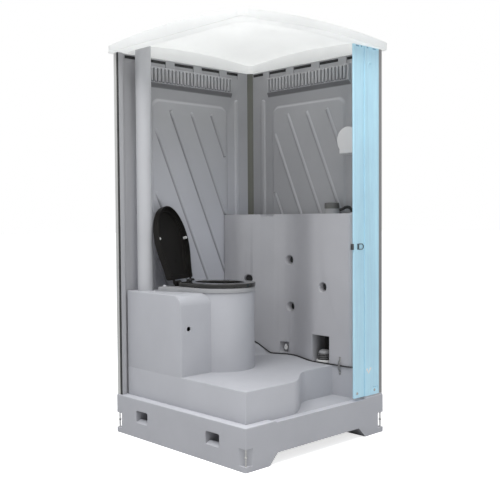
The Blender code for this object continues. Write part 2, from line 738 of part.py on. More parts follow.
def build_waste_tank(look):
    tank = tank_form("waste_tank", 0, TANK_BOTTOM)
    tank.data.materials.append(look)
    floor = box("entry_floor", (-TANK_HALF, -TANK_HALF, TANK_BOTTOM), (TANK_HALF, TANK_HALF, FLOOR_LEVEL))
    ys = spread(CURB_FRONT_Y, TANK_HALF, 10)
    curb = plate("curb", [[(CURB_LEFT_X, TANK_HALF), (CURB_LEFT_X, CURB_FRONT_Y)]
                          + [(water_face(y) - CURB_GAP, y) for y in ys]], STEP_LEVEL - TANK_WALL, CURB_TOP)
    rise = CURB_TOP - STEP_LEVEL
    slope = plate("curb_slope", [[(CURB_FRONT_Y - OVERRUN, STEP_LEVEL), (CURB_FRONT_Y, STEP_LEVEL),
                                  (CURB_FRONT_Y + CURB_RUN, STEP_LEVEL + rise),
                                  (CURB_FRONT_Y + CURB_RUN, CURB_TOP + OVERRUN),
                                  (CURB_FRONT_Y - OVERRUN, CURB_TOP + OVERRUN)]],
                  0, TANK_HALF + OVERRUN, matrix=SIDE_FRAME)
    cut(curb, slope)
    join(tank, floor, curb)
    hollow = tank_form("tank_hollow", TANK_WALL, TANK_BOTTOM + TANK_WALL)
    cut(tank, hollow)
    mouth = cylinder("bowl_mouth", PEDESTAL_OPENING, (TOILET_X, TOILET_Y, BENCH_LEVEL - 2 * TANK_WALL),
                     (TOILET_X, TOILET_Y, BENCH_LEVEL + OVERRUN), steps=ROUND_STEPS)
    pipe_hole = cylinder("pipe_hole", PIPE_RADIUS + GAP, (PIPE_X, PIPE_Y, BENCH_LEVEL - 2 * TANK_WALL),
                         (PIPE_X, PIPE_Y, BENCH_LEVEL + OVERRUN), steps=ROUND_STEPS)
    bung = cylinder("bung_hole", BUNG_RADIUS, (BUNG_X, BENCH_FRONT_Y - OVERRUN, BUNG_LEVEL),
                    (BUNG_X, BENCH_FRONT_Y + 2 * TANK_WALL, BUNG_LEVEL))
    cut(tank, mouth, pipe_hole, bung)
    return tank


def build_deck(look):
    corner = atan2(DECK_BACK, DECK_HALF_BACK)
    reach = sqrt(DECK_BACK ** 2 + DECK_HALF_BACK ** 2)
    side = corner - asin(sqrt(1 - (DECK_RADIUS / reach) ** 2)) if reach > DECK_RADIUS else 0
    outline = arc(0, 0, DECK_RADIUS, DECK_RADIUS, pi - side, 2 * pi + side, 28)
    rear = [(DECK_HALF_BACK, DECK_BACK - DECK_CORNER), (DECK_HALF_BACK - DECK_CORNER, DECK_BACK),
            (-DECK_HALF_BACK + DECK_CORNER, DECK_BACK), (-DECK_HALF_BACK, DECK_BACK - DECK_CORNER)]
    hole = arc(0, 0, DECK_HOLE_B, DECK_HOLE_A, 0, 2 * pi, ROUND_STEPS)[:-1]
    deck = plate("bowl_deck", [outline + rear, hole], DECK_LOW, DECK_TOP, look, TOILET)
    round_edges(deck, DECK_EDGE, 1, 60)
    seat = cylinder("bowl_recess", BOWL_FLANGE + GAP, (0, 0, DECK_LOW - OVERRUN),
                    (0, 0, DECK_LOW + BOWL_FLANGE_THICKNESS + GAP), matrix=TOILET, steps=ROUND_STEPS)
    cut(deck, seat)
    return deck


def build_bowl(look):
    top = DECK_LOW + BOWL_FLANGE_THICKNESS
    low = DECK_LOW
    bowl = turned("toilet_bowl", [
        (BOWL_RIM_RADIUS - BOWL_WALL, top),
        (BOWL_FLANGE, top),
        (BOWL_FLANGE, low),
        (BOWL_RIM_RADIUS, low),
        (BOWL_WAIST_RADIUS, BOWL_WAIST_LEVEL),
        (BOWL_OUTLET_RADIUS, BOWL_OUTLET_LEVEL),
        (BOWL_OUTLET_RADIUS - BOWL_WALL, BOWL_OUTLET_LEVEL),
        (BOWL_WAIST_RADIUS - BOWL_WALL, BOWL_WAIST_LEVEL),
    ], look, TOILET)
    axle = BOWL_OUTLET_LEVEL - FLAP_KNUCKLE_RADIUS
    for side in (-1, 1):
        xs = sorted((side * FLAP_EAR_HALF, side * (FLAP_EAR_HALF - FLAP_EAR_WIDTH)))
        ear = box("ear", (xs[0], BOWL_OUTLET_RADIUS - 2 * BOWL_WALL, BOWL_OUTLET_LEVEL + BOWL_WALL),
                  (xs[1], FLAP_PIN_BACK + FLAP_KNUCKLE_RADIUS, BOWL_OUTLET_LEVEL + 3 * FLAP_KNUCKLE_RADIUS),
                  matrix=TOILET)
        leg = box("ear_leg", (xs[0], FLAP_PIN_BACK - FLAP_KNUCKLE_RADIUS, axle - FLAP_KNUCKLE_RADIUS),
                  (xs[1], FLAP_PIN_BACK + FLAP_KNUCKLE_RADIUS, BOWL_OUTLET_LEVEL + 2 * BOWL_WALL),
                  matrix=TOILET)
        join(bowl, ear, leg)
    reach = FLAP_EAR_HALF + OVERRUN
    cut(bowl, cylinder("flap_bore", FLAP_PIN_RADIUS + GAP, (-reach, FLAP_PIN_BACK, axle),
                       (reach, FLAP_PIN_BACK, axle), matrix=TOILET))
    cut(bowl, cylinder("outlet_bore", BOWL_OUTLET_RADIUS - BOWL_WALL, (0, 0, BOWL_OUTLET_LEVEL - OVERRUN),
                       (0, 0, BOWL_OUTLET_LEVEL + BOWL_WALL + 3 * FLAP_KNUCKLE_RADIUS), matrix=TOILET,
                       steps=ROUND_STEPS))
    cylinder("flap_pin", FLAP_PIN_RADIUS, (-FLAP_EAR_HALF, FLAP_PIN_BACK, axle),
             (FLAP_EAR_HALF, FLAP_PIN_BACK, axle), look, TOILET)
    return bowl


def build_flap(look):
    """The trap flap; its origin is on its pin."""
    axle = BOWL_OUTLET_LEVEL - FLAP_KNUCKLE_RADIUS
    hinge = empty("flap_hinge", TOILET @ Matrix.Translation((0, FLAP_PIN_BACK, axle)))
    top = BOWL_OUTLET_LEVEL - GAP - axle
    disc = cylinder("bowl_flap", BOWL_OUTLET_RADIUS, (0, -FLAP_PIN_BACK, top - FLAP_THICKNESS),
                    (0, -FLAP_PIN_BACK, top), look, hinge.matrix_world, steps=ROUND_STEPS)
    half = FLAP_EAR_HALF - FLAP_EAR_WIDTH - RUN_GAP
    arm = box("flap_arm", (-half, -FLAP_PIN_BACK, top - FLAP_THICKNESS),
              (half, 0, top - RUN_GAP), matrix=hinge.matrix_world)
    knuckle = cylinder("flap_knuckle", FLAP_KNUCKLE_RADIUS - RUN_GAP, (-half, 0, 0), (half, 0, 0),
                       matrix=hinge.matrix_world)
    join(disc, arm, knuckle)
    cut(disc, cylinder("flap_knuckle_bore", FLAP_PIN_RADIUS + GAP, (-half - OVERRUN, 0, 0),
                       (half + OVERRUN, 0, 0), matrix=hinge.matrix_world))
    hang(disc, hinge)


def empty(name, matrix):
    made = bpy.data.objects.new(name, None)
    PARTS.objects.link(made)
    made.matrix_world = matrix
    bpy.context.view_layer.update()
    return made


def hang(obj, parent):
    """Parents an object to an empty on its joint's axis, and keeps it in place."""
    place = obj.matrix_world.copy()
    obj.parent = parent
    obj.matrix_parent_inverse = parent.matrix_world.inverted()
    obj.matrix_world = place


def oval(rear, half_rear, tip, half_width, inset=0, steps=18):
    """Outline of seat or lid, seen from above, with the hinge axis at Y = 0 and its tip at -Y."""
    rear, tip = rear + inset, tip - inset
    half_rear, half_width = half_rear - inset, half_width - inset
    waist = rear + (tip - rear) * OVAL_WIDEST_SHARE
    front = arc(0, -waist, half_width, tip - waist, -pi, 0, steps)
    right = [(half_width - (half_width - half_rear) * ease(t), -waist + (waist - rear) * t)
             for t in (1 / 4, 1 / 2, 3 / 4, 1)]
    left = [(-x, y) for x, y in reversed(right)]
    return front + right + left


def circle(radius, steps=SMALL_STEPS):
    return arc(0, 0, radius, radius, 0, 2 * pi, steps)[:-1]


def hinge_lug(name, inner, width, low, high, reach, matrix):
    """A bored knuckle in one with the web that ties it to the seat or lid in front of it."""
    radius = HINGE_KNUCKLE_RADIUS
    start, end = pi - asin(low / radius), 3 * pi - asin(high / radius)
    outline = [(-reach, high), (-reach, low)] + arc(0, 0, radius, radius, start, end, SMALL_STEPS)
    bore = circle(HINGE_PIN_RADIUS + GAP)
    return [plate(name, [outline, bore], *sorted((side * inner, side * (inner + width))),
                  matrix=matrix @ SIDE_FRAME) for side in (-1, 1)]


def build_seat(look, bumper_look):
    hinge = empty("seat_hinge", TOILET @ Matrix.Translation((0, HINGE_BACK, HINGE_Z)))
    frame = hinge.matrix_world
    low = DECK_TOP + SEAT_LIFT - HINGE_Z
    high = low + SEAT_THICKNESS
    hole = arc(0, -SEAT_HOLE_FORWARD, SEAT_HOLE_B, SEAT_HOLE_A, 0, 2 * pi, ROUND_STEPS)[:-1]
    seat = plate("seat_ring", [oval(SEAT_REAR, SEAT_HALF_REAR, SEAT_TIP, SEAT_HALF_WIDTH), hole],
                 low, high, look, frame)
    round_edges(seat, SEAT_EDGE, 2, 60)
    join(seat, *hinge_lug("seat_knuckle", HINGE_INNER, HINGE_LUG_WIDTH, low + SEAT_EDGE + GAP,
                          high - SEAT_EDGE - GAP, SEAT_REAR + 2 * SEAT_EDGE, frame))
    hang(seat, hinge)
    for i, (across, along) in enumerate(SEAT_BUMPER_SHARES):
        x, y = across * SEAT_HALF_WIDTH, -along * SEAT_TIP
        pad = cylinder("seat_bumper_%d" % (i + 1), BUMPER_RADIUS, (x, y, low - SEAT_LIFT + GAP),
                       (x, y, low - GAP), bumper_look, frame)
        hang(pad, hinge)
    return hinge


def build_lid(look, bumper_look):
    """The lid is modelled closed and then turned back about its hinge, as the photograph shows it."""
    closed = TOILET @ Matrix.Translation((0, HINGE_BACK, HINGE_Z))
    hinge = empty("lid_hinge", closed @ Matrix.Rotation(-LID_OPEN, 4, "X"))
    frame = hinge.matrix_world
    low = DECK_TOP + SEAT_LIFT + SEAT_THICKNESS + LID_GAP - HINGE_Z
    high = low + LID_DEPTH
    lid = plate("toilet_lid", [oval(LID_REAR, LID_HALF_REAR, LID_TIP, LID_HALF_WIDTH)],
                low - 2 * LID_EDGE, high, look, frame)
    round_edges(lid, LID_EDGE, 3, 60)
    cut(lid, box("lid_rim_plane", (-LID_TIP, -LID_TIP - OVERRUN, low - 3 * LID_EDGE),
                 (LID_TIP, OVERRUN, low), matrix=frame))
    join(lid, *hinge_lug("lid_knuckle", HINGE_INNER + 2 * HINGE_LUG_WIDTH, HINGE_LUG_WIDTH,
                         low + LID_WALL / 4, HINGE_KNUCKLE_RADIUS - LID_WALL / 4,
                         LID_REAR + LID_WALL / 2, frame))
    wide = plate("lid_hollow", [oval(LID_REAR, LID_HALF_REAR, LID_TIP, LID_HALF_WIDTH, LID_WALL)],
                 low - OVERRUN, low + LID_LEDGE_DEPTH, matrix=frame)
    deep = plate("lid_panel", [oval(LID_REAR, LID_HALF_REAR, LID_TIP, LID_HALF_WIDTH, LID_LEDGE)],
                 low, high - LID_WALL, matrix=frame)
    cut(lid, wide, deep)
    hang(lid, hinge)
    ledge = low + LID_LEDGE_DEPTH - GAP
    along = (LID_REAR + LID_TIP) / 2 + LID_LEDGE
    across = LID_HALF_WIDTH - (LID_LEDGE + LID_WALL) / 2
    for side, name in ((-1, "left"), (1, "right")):
        pad = cylinder("lid_bumper_" + name, BUMPER_RADIUS, (side * across, -along, low + GAP),
                       (side * across, -along, ledge), bumper_look, frame)
        hang(pad, hinge)


def build_hinge_hardware(look, cap_look):
    frame = TOILET @ Matrix.Translation((0, HINGE_BACK, HINGE_Z))
    radius, low = HINGE_KNUCKLE_RADIUS, -HINGE_RISE + GAP
    for side, name in ((-1, "left"), (1, "right")):
        xs = sorted((side * (HINGE_INNER + HINGE_LUG_WIDTH + RUN_GAP),
                     side * (HINGE_INNER + 2 * HINGE_LUG_WIDTH - RUN_GAP)))
        outline = [(-radius, low), (radius, low)] + arc(0, 0, radius, radius, 0, pi, SMALL_STEPS)
        plate("hinge_bracket_" + name, [outline, circle(HINGE_PIN_RADIUS + GAP)], xs[0], xs[1], look,
              frame @ SIDE_FRAME)
        ends = sorted((side * HINGE_INNER, side * (HINGE_INNER + 3 * HINGE_LUG_WIDTH)))
        cylinder("hinge_pin_" + name, HINGE_PIN_RADIUS, (ends[0], 0, 0), (ends[1], 0, 0), look, frame)
        place = Matrix.Translation((side * BOLT_CAP_HALF_SPAN, BOLT_CAP_BACK, DECK_TOP + GAP))
        turned("deck_bolt_cap_" + name, [
            (0, BOLT_CAP_HEIGHT), (BOLT_CAP_RADIUS / 2, BOLT_CAP_HEIGHT),
            (BOLT_CAP_RADIUS, BOLT_CAP_HEIGHT / 2), (BOLT_CAP_RADIUS, 0), (0, 0),
        ], cap_look, TOILET @ place, SMALL_STEPS, closed=False)


def build_vent_pipe(look):
    low = BENCH_LEVEL - PIPE_INSERT
    turned("vent_pipe", [
        (PIPE_RADIUS - PIPE_WALL, PIPE_TOP), (PIPE_RADIUS, PIPE_TOP), (PIPE_RADIUS, low),
        (PIPE_RADIUS - PIPE_WALL, low),
    ], look, Matrix.Translation((PIPE_X, PIPE_Y, 0)), ROUND_STEPS)


def water_outline(inset):
    """Plan of the water tank: a long wave on its front face, rounded at the near end."""
    near, far = WATER_NEAR_Y + inset, WATER_FAR_Y - inset
    back, radius = WATER_BACK_X - inset, WATER_NEAR_ROUND - inset
    corner = arc(WATER_FACE_X + inset + radius, near + radius, radius, radius, -pi / 2, -pi, 5)
    ys = (spread(WATER_WAVE_START_Y, WATER_WAVE_END_Y, 8)
          + spread(WATER_BAY_END_Y, WATER_REAR_START_Y, 8) + [far])
    face = [(water_face(y) + inset, y) for y in ys]
    return [(back, far), (back, near)] + corner + face


def bay(middle, width, low, high, depth, grow=0):
    """A recess in the front face; grow makes the solid that keeps a wall round it."""
    half = width / 2 + grow
    back = water_face(middle) + depth + grow
    return ((WATER_REAR_X - OVERRUN, middle - half, low - grow), (back, middle + half, high + grow))


def dimple(along, up, grow=0):
    """A round kiss-off dimple, square to the face where it sits."""
    y = WATER_NEAR_Y + WATER_LENGTH * along
    level = WATER_BOTTOM + (WATER_TOP - WATER_BOTTOM) * up
    face = water_face(y)
    dy = DIMPLE_RADIUS / 2
    slope = (water_face(y + dy) - water_face(y - dy)) / (2 * dy)
    inward = Vector((1, -slope, 0)).normalized()
    start = Vector((face, y, level)) - inward * OVERRUN
    end = Vector((face, y, level)) + inward * (DIMPLE_DEPTH + grow)
    return cylinder("dimple", DIMPLE_RADIUS + grow + OVERRUN / 5, start, end,
                    top_radius=DIMPLE_RADIUS * 3 / 4 + grow, steps=MIDDLE_STEPS)


def build_water_tank(look):
    tank = plate("fresh_water_tank", [water_outline(0)], WATER_BOTTOM, WATER_TOP, look)
    round_edges(tank, WATER_EDGE, 2, 60)
    hollow = plate("water_hollow", [water_outline(WATER_WALL)], WATER_BOTTOM + WATER_WALL,
                   WATER_TOP - WATER_WALL)
    bays = ((PUMP_BAY_Y, PUMP_BAY_WIDTH, WATER_BOTTOM - OVERRUN, PUMP_BAY_TOP, PUMP_BAY_DEPTH),
            (DRAIN_BAY_Y, DRAIN_BAY_WIDTH, DRAIN_BAY_LOW, DRAIN_BAY_TOP, DRAIN_BAY_DEPTH),
            (GRIP_Y, GRIP_WIDTH, WATER_TOP - GRIP_HEIGHT, WATER_TOP + OVERRUN, GRIP_DEPTH))
    for one in bays:
        cut(hollow, boxes("bay_walls", [bay(*one, WATER_WALL)]))
    for along, up in DIMPLE_SHARES:
        cut(hollow, dimple(along, up, WATER_WALL))
    cut(tank, hollow, boxes("bays", [bay(*one) for one in bays]))
    for along, up in DIMPLE_SHARES:
        cut(tank, dimple(along, up))
    cut(tank, cylinder("neck_hole", NECK_BORE, (NECK_X, NECK_Y, WATER_TOP - 2 * WATER_WALL),
                       (NECK_X, NECK_Y, WATER_TOP + OVERRUN), steps=MIDDLE_STEPS))
    return tank


def build_filler(look, cap_look, hose_look):
    low = WATER_TOP + GAP
    top = low + NECK_HEIGHT
    lip = top - NECK_HEIGHT / 4
    turned("filler_neck", [
        (NECK_BORE, top), (NECK_LIP_RADIUS - CAP_WALL, top), (NECK_LIP_RADIUS - CAP_WALL, lip),
        (NECK_RADIUS - CAP_WALL, lip), (NECK_RADIUS, low), (NECK_BORE, low),
    ], look, Matrix.Translation((NECK_X, NECK_Y, 0)), MIDDLE_STEPS)
    cap_low = lip + RUN_GAP
    cap_top = cap_low + CAP_HEIGHT
    skirt = NECK_LIP_RADIUS - CAP_WALL + RUN_GAP
    profile = [(0, cap_top), (CAP_RADIUS - CAP_WALL, cap_top), (CAP_RADIUS, cap_top - CAP_WALL),
               (CAP_RADIUS, cap_low), (skirt, cap_low), (skirt, top + RUN_GAP), (0, top + RUN_GAP)]
    cap = turned("filler_cap", profile, cap_look, Matrix.Translation((NECK_X, NECK_Y, 0)), 2 * CAP_RIBS,
                 closed=False)
    flutes = []
    for i in range(CAP_RIBS):
        angle = 2 * pi * i / CAP_RIBS
        x, y = NECK_X + CAP_RADIUS * cos(angle), NECK_Y + CAP_RADIUS * sin(angle)
        half = CAP_RIB_DEPTH
        flutes.append(((x - half, y - half, cap_low - OVERRUN), (x + half, y + half, cap_top - CAP_WALL)))
    cut(cap, boxes("cap_flutes", flutes))
    route = [Vector((NECK_X, NECK_Y, WATER_TOP)) + Vector(point) for point in OVERFLOW_ROUTE]
    tube("overflow_hose", route, OVERFLOW_RADIUS, hose_look)
    end = route[-1]
    cylinder("overflow_grommet", OVERFLOW_RADIUS + CAP_WALL, (end.x, end.y, low), (end.x, end.y, end.z - GAP),
             look)


def build_pump(ring_look, bellows_look, cap_look):
    place = Matrix.Translation((WATER_FACE_X + PUMP_INSET, PUMP_BAY_Y + PUMP_OFFSET, 0))
    low = STEP_LEVEL + GAP
    floor = low + PUMP_RIM_WALL
    turned("pump_base", [
        (0, floor), (PUMP_BASE_RADIUS - PUMP_RIM_WALL, floor),
        (PUMP_BASE_RADIUS - PUMP_RIM_WALL, low + PUMP_BASE_HEIGHT),
        (PUMP_BASE_RADIUS, low + PUMP_BASE_HEIGHT), (PUMP_BASE_RADIUS, low), (0, low),
    ], ring_look, place, MIDDLE_STEPS, closed=False)
    start = floor + GAP
    folds = [(0, start + PUMP_BELLOWS_HEIGHT)]
    pitch = PUMP_BELLOWS_HEIGHT / PUMP_FOLDS
    for i in range(PUMP_FOLDS):
        top = start + PUMP_BELLOWS_HEIGHT - i * pitch
        folds += [(PUMP_BELLOWS_WAIST, top), (PUMP_BELLOWS_RADIUS, top - pitch / 3),
                  (PUMP_BELLOWS_RADIUS, top - 2 * pitch / 3)]
    folds += [(PUMP_BELLOWS_WAIST, start), (0, start)]
    turned("pump_bellows", folds, bellows_look, place, MIDDLE_STEPS, closed=False)
    top = start + PUMP_BELLOWS_HEIGHT + GAP
    half = PUMP_CAP_HEIGHT / 2
    turned("pump_cap", [
        (0, top + PUMP_CAP_HEIGHT), (PUMP_CAP_RADIUS / 2, top + PUMP_CAP_HEIGHT),
        (PUMP_CAP_RADIUS, top + half), (PUMP_CAP_RADIUS, top), (0, top),
    ], cap_look, place, MIDDLE_STEPS, closed=False)


def build_drain(valve_look, knob_look):
    y = DRAIN_BAY_Y
    z = (DRAIN_BAY_LOW + DRAIN_BAY_TOP) / 2 - KNOB_TIP_RADIUS
    back = water_face(y) + DRAIN_BAY_DEPTH - GAP
    front = back - VALVE_LENGTH
    cylinder("drain_valve", VALVE_RADIUS, (front, y, z), (back, y, z), valve_look)
    facing = Matrix.Translation((front - GAP - KNOB_THICKNESS, y, z)) @ SIDE_FRAME
    lean = asin((KNOB_RADIUS - KNOB_TIP_RADIUS) / KNOB_TIP)
    teardrop = (arc(0, 0, KNOB_RADIUS, KNOB_RADIUS, pi - lean, 2 * pi + lean, 14)
                + arc(0, KNOB_TIP, KNOB_TIP_RADIUS, KNOB_TIP_RADIUS, lean, pi - lean, 6))
    knob = plate("drain_knob", [teardrop], 0, KNOB_THICKNESS, knob_look, facing)
    round_edges(knob, KNOB_TIP_RADIUS / 3, 1, 60)


def hose_route():
    """Centre line of the flush hose: up and over the curb behind, then along the foot of the tank."""
    floor = STEP_LEVEL + HOSE_OFF_FLOOR
    curb = CURB_TOP + HOSE_OFF_FLOOR
    slope_end = CURB_FRONT_Y + CURB_RUN
    inlet_x = BENCH_RIGHT_X + FITTING_LENGTH + GAP
    inlet_y = (WATER_REAR_START_Y + slope_end) / 2
    inlet_z = curb + 3 * FITTING_RADIUS
    face = WATER_FACE_X - HOSE_OFF_FACE
    near = WATER_NEAR_Y - 2 * HOSE_OFF_FACE
    through = [
        (inlet_x, inlet_y, inlet_z),
        (inlet_x + FITTING_LENGTH, inlet_y, inlet_z),
        (inlet_x + 4 * FITTING_LENGTH, inlet_y - FITTING_LENGTH, curb + 2 * HOSE_RADIUS),
        (water_face(slope_end + FITTING_LENGTH) - 3 * HOSE_OFF_FACE, slope_end + FITTING_LENGTH,
         curb + HOSE_RADIUS),
    ]
    for share in (1, 1 / 2, 0):
        y = CURB_FRONT_Y + CURB_RUN * share
        through.append((water_face(y) - 2 * HOSE_OFF_FACE, y,
                        STEP_LEVEL + (CURB_TOP - STEP_LEVEL) * share + 2 * HOSE_OFF_FLOOR))
    for y in spread(CURB_FRONT_Y - CURB_RUN / 2, WATER_WAVE_START_Y, 8):
        through.append((water_face(y) - HOSE_OFF_FACE, y, floor))
    through += [(face, (WATER_WAVE_START_Y + STRAP_Y) / 2, floor), (face, STRAP_Y, floor),
                (face, WATER_NEAR_Y + WATER_NEAR_ROUND, floor),
                (face + WATER_NEAR_ROUND / 3, near, floor + HOSE_RADIUS),
                (WATER_FACE_X + WATER_NEAR_ROUND, near - HOSE_RADIUS, floor + 2 * HOSE_RADIUS),
                (WATER_FACE_X + 2 * WATER_NEAR_ROUND, near - HOSE_RADIUS, floor + 4 * HOSE_RADIUS),
                (WATER_FACE_X + 2 * WATER_NEAR_ROUND, near - HOSE_RADIUS,
                 floor + 4 * HOSE_RADIUS + FITTING_LENGTH)]
    return [Vector(p) for p in through]


def curve_through(points, count):
    """Points spread evenly by length on a Catmull-Rom curve through the given points."""
    dense = []
    for i in range(len(points) - 1):
        p0 = points[max(i - 1, 0)]
        p1, p2 = points[i], points[i + 1]
        p3 = points[min(i + 2, len(points) - 1)]
        for k in range(HOSE_SPANS):
            t = k / HOSE_SPANS
            dense.append(((p1 * 2) + (p2 - p0) * t + (p0 * 2 - p1 * 5 + p2 * 4 - p3) * t * t
                          + (p1 * 3 - p0 - p2 * 3 + p3) * t * t * t) / 2)
    dense.append(points[-1])
    lengths = [0.0]
    for a, b in zip(dense, dense[1:]):
        lengths.append(lengths[-1] + (b - a).length)
    out, j = [], 0
    for i in range(count + 1):
        goal = lengths[-1] * i / count
        while j < len(lengths) - 2 and lengths[j + 1] < goal:
            j += 1
        span = lengths[j + 1] - lengths[j]
        out.append(dense[j].lerp(dense[j + 1], (goal - lengths[j]) / span if span else 0))
    return out


def build_hose(hose_look, fitting_look, strap_look, screw_look):
    route = hose_route()
    centres = curve_through(route, HOSE_POINTS)
    leave = (route[1] - route[0]).normalized() * HOSE_RADIUS
    arrive = (route[-1] - route[-2]).normalized() * HOSE_RADIUS
    centres = [route[0], route[0] + leave] + centres[1:-1] + [route[-1] - arrive, route[-1]]
    tube("flush_hose", centres, HOSE_RADIUS, hose_look)
    start, end = route[0], route[-1]
    cylinder("hose_fitting_bowl", FITTING_RADIUS, (BENCH_RIGHT_X + GAP, start.y, start.z),
             (start.x - GAP, start.y, start.z), fitting_look)
    top = end.z + GAP + 2 * FITTING_RADIUS
    elbow = box("hose_fitting_tank", (end.x - FITTING_RADIUS, end.y - FITTING_RADIUS / 2, end.z + GAP),
                (end.x + FITTING_RADIUS, WATER_NEAR_Y - GAP, top), fitting_look)
    round_edges(elbow, HOSE_RADIUS / 2, 1)
    front = WATER_FACE_X - GAP
    low_y, high_y = STRAP_Y - STRAP_WIDTH / 2, STRAP_Y + STRAP_WIDTH / 2
    out = front - STRAP_STANDOFF
    bridge_low, bridge_high = STRAP_LOW + STRAP_FOOT, STRAP_HIGH - STRAP_FOOT
    side = [(front, STRAP_LOW), (front, bridge_low), (out, bridge_low + STRAP_STANDOFF),
            (out, bridge_high - STRAP_STANDOFF), (front, bridge_high), (front, STRAP_HIGH),
            (front - STRAP_THICKNESS, STRAP_HIGH), (front - STRAP_THICKNESS, bridge_high),
            (out - STRAP_THICKNESS, bridge_high - STRAP_STANDOFF),
            (out - STRAP_THICKNESS, bridge_low + STRAP_STANDOFF),
            (front - STRAP_THICKNESS, bridge_low), (front - STRAP_THICKNESS, STRAP_LOW)]
    plate("hose_strap", [side], -high_y, -low_y, strap_look, REAR_FRAME)
    face = front - STRAP_THICKNESS - GAP
    for name, level in (("lower", STRAP_LOW + STRAP_FOOT / 2), ("upper", STRAP_HIGH - STRAP_FOOT / 2)):
        cylinder("strap_screw_" + name, STRAP_SCREW_RADIUS, (face, STRAP_Y, level),
                 (face - STRAP_SCREW_HEIGHT, STRAP_Y, level), screw_look,
                 top_radius=STRAP_SCREW_RADIUS * 2 / 3)


def build_wall(name, frame, look, flip):
    """One louvred wall panel, set out about its own middle; flip mirrors it into the other wall."""
    low, high = WALL_INNER, WALL_INNER + WALL_PLATE
    half = POST_INNER + GROOVE_DEPTH - GAP
    bottom = BASE_HEIGHT + GAP
    if flip > 0:
        levels = (-high, -low)
    else:
        levels = (low, high)
    rise = WALL_PANEL_RISE

    def slab(label, outline, extra, chamfer):
        piece = plate(name + "_" + label, [[(flip * x, z) for x, z in outline]],
                      levels[0] - extra, levels[1] + extra, matrix=frame)
        if chamfer:
            round_edges(piece, chamfer, 1, 60)
        return piece

    wall = plate(name, [[(-half, bottom), (half, bottom), (half, WALL_TOP), (-half, WALL_TOP)]],
                 levels[0], levels[1], look, frame)
    panel = slab("panel", rounded_rectangle(-PANEL_HALF_WIDTH, PANEL_LOW, PANEL_HALF_WIDTH, PANEL_TOP,
                                            PANEL_CORNER, 4), rise, PANEL_CHAMFER)
    join(wall, panel)
    point = STILE_WIDTH / 2
    for side, label in ((-1, "near"), (1, "far")):
        middle = side * STILE_CENTRE
        stile = ([(middle - point, STILE_LOW), (middle + point, STILE_LOW)]
                 + arc(middle, STILE_TOP - point, point, point, 0, pi, 6))
        join(wall, slab("stile_" + label, stile, rise, PANEL_CHAMFER))
    for ridge in ridges():
        join(wall, slab("ridge", ridge, rise + WALL_RIDGE_RISE, RIDGE_CHAMFER))
    block_half, block_top = LOUVRE_HALF_WIDTH + LOUVRE_MARGIN, LOUVRE_TOP + LOUVRE_MARGIN
    block = [(-block_half, LOUVRE_BLOCK_LOW), (block_half, LOUVRE_BLOCK_LOW), (block_half, block_top),
             (-block_half, block_top)]
    join(wall, slab("louvre_block", block, LOUVRE_RISE, LOUVRE_CHAMFER))

    def through(low_x, low_z, high_x, high_z, deep_from, deep_to):
        xs = sorted((flip * low_x, flip * high_x))
        zs = sorted((-flip * deep_from, -flip * deep_to))
        corner_a = frame @ Vector((xs[0], low_z, zs[0]))
        corner_b = frame @ Vector((xs[1], high_z, zs[1]))
        return (tuple(map(min, corner_a, corner_b)), tuple(map(max, corner_a, corner_b)))

    inside, outside = low - OVERRUN, high + OVERRUN
    slots = []
    pitch = 2 * LOUVRE_HALF_WIDTH / LOUVRE_COUNT
    for i in range(LOUVRE_COUNT):
        middle = -LOUVRE_HALF_WIDTH + pitch * (i + 1 / 2)
        slot = pitch * LOUVRE_SLOT_SHARE / 2
        slots.append(through(middle - slot, LOUVRE_LOW, middle + slot, LOUVRE_TOP, inside, outside))
    vents = [(centre * POST_INNER, length * POST_INNER)
             for centre, length in zip(VENT_CENTRE_SHARES, VENT_LENGTH_SHARES)]
    web_low, web_high = (low + high - VENT_WEB) / 2, (low + high + VENT_WEB) / 2
    for middle, length in vents:
        near, far = middle - length / 2, middle + length / 2
        slots.append(through(near, VENT_LOW, far, VENT_TOP, inside, web_low))
        slots.append(through(near, VENT_LOW, far, VENT_TOP, web_high, outside))
    cut(wall, boxes(name + "_slots", slots))
    sills = []
    for middle, length in vents:
        sills.append(through(middle - length / 2, VENT_LOW - VENT_SILL, middle + length / 2, VENT_LOW,
                             inside, low + VENT_SILL_DEPTH))
    cut(wall, boxes(name + "_sills", sills))
    return wall


def ridges():
    """Slanting stiffening ridges, clipped to the raised panel."""
    left, right = -PANEL_HALF_WIDTH + RIDGE_MARGIN, PANEL_HALF_WIDTH - RIDGE_MARGIN
    run = RIDGE_LEAN * (RIDGE_TOP - RIDGE_LOW)
    first = left - run + RIDGE_START
    out = []
    count = int((right - first) / RIDGE_SPACING) + 1
    half = RIDGE_WIDTH / 2
    for i in range(count):
        top_x = first + i * RIDGE_SPACING
        points = []
        for z in (RIDGE_TOP, RIDGE_LOW):
            points.append((top_x + RIDGE_LEAN * (RIDGE_TOP - z), z))
        (x1, z1), (x2, z2) = points
        if x1 < left:
            z1, x1 = z1 - (left - x1) / RIDGE_LEAN, left
        if x2 > right:
            z2, x2 = z2 + (x2 - right) / RIDGE_LEAN, right
        if z1 - z2 > 4 * RIDGE_WIDTH and x1 < x2:
            along = Vector((x2 - x1, z2 - z1)).normalized()
            across = Vector((-along.y, along.x)) * half
            a, b = Vector((x1, z1)), Vector((x2, z2))
            out.append([tuple(a - across), tuple(a + across), tuple(b + across), tuple(b - across)])
    return out


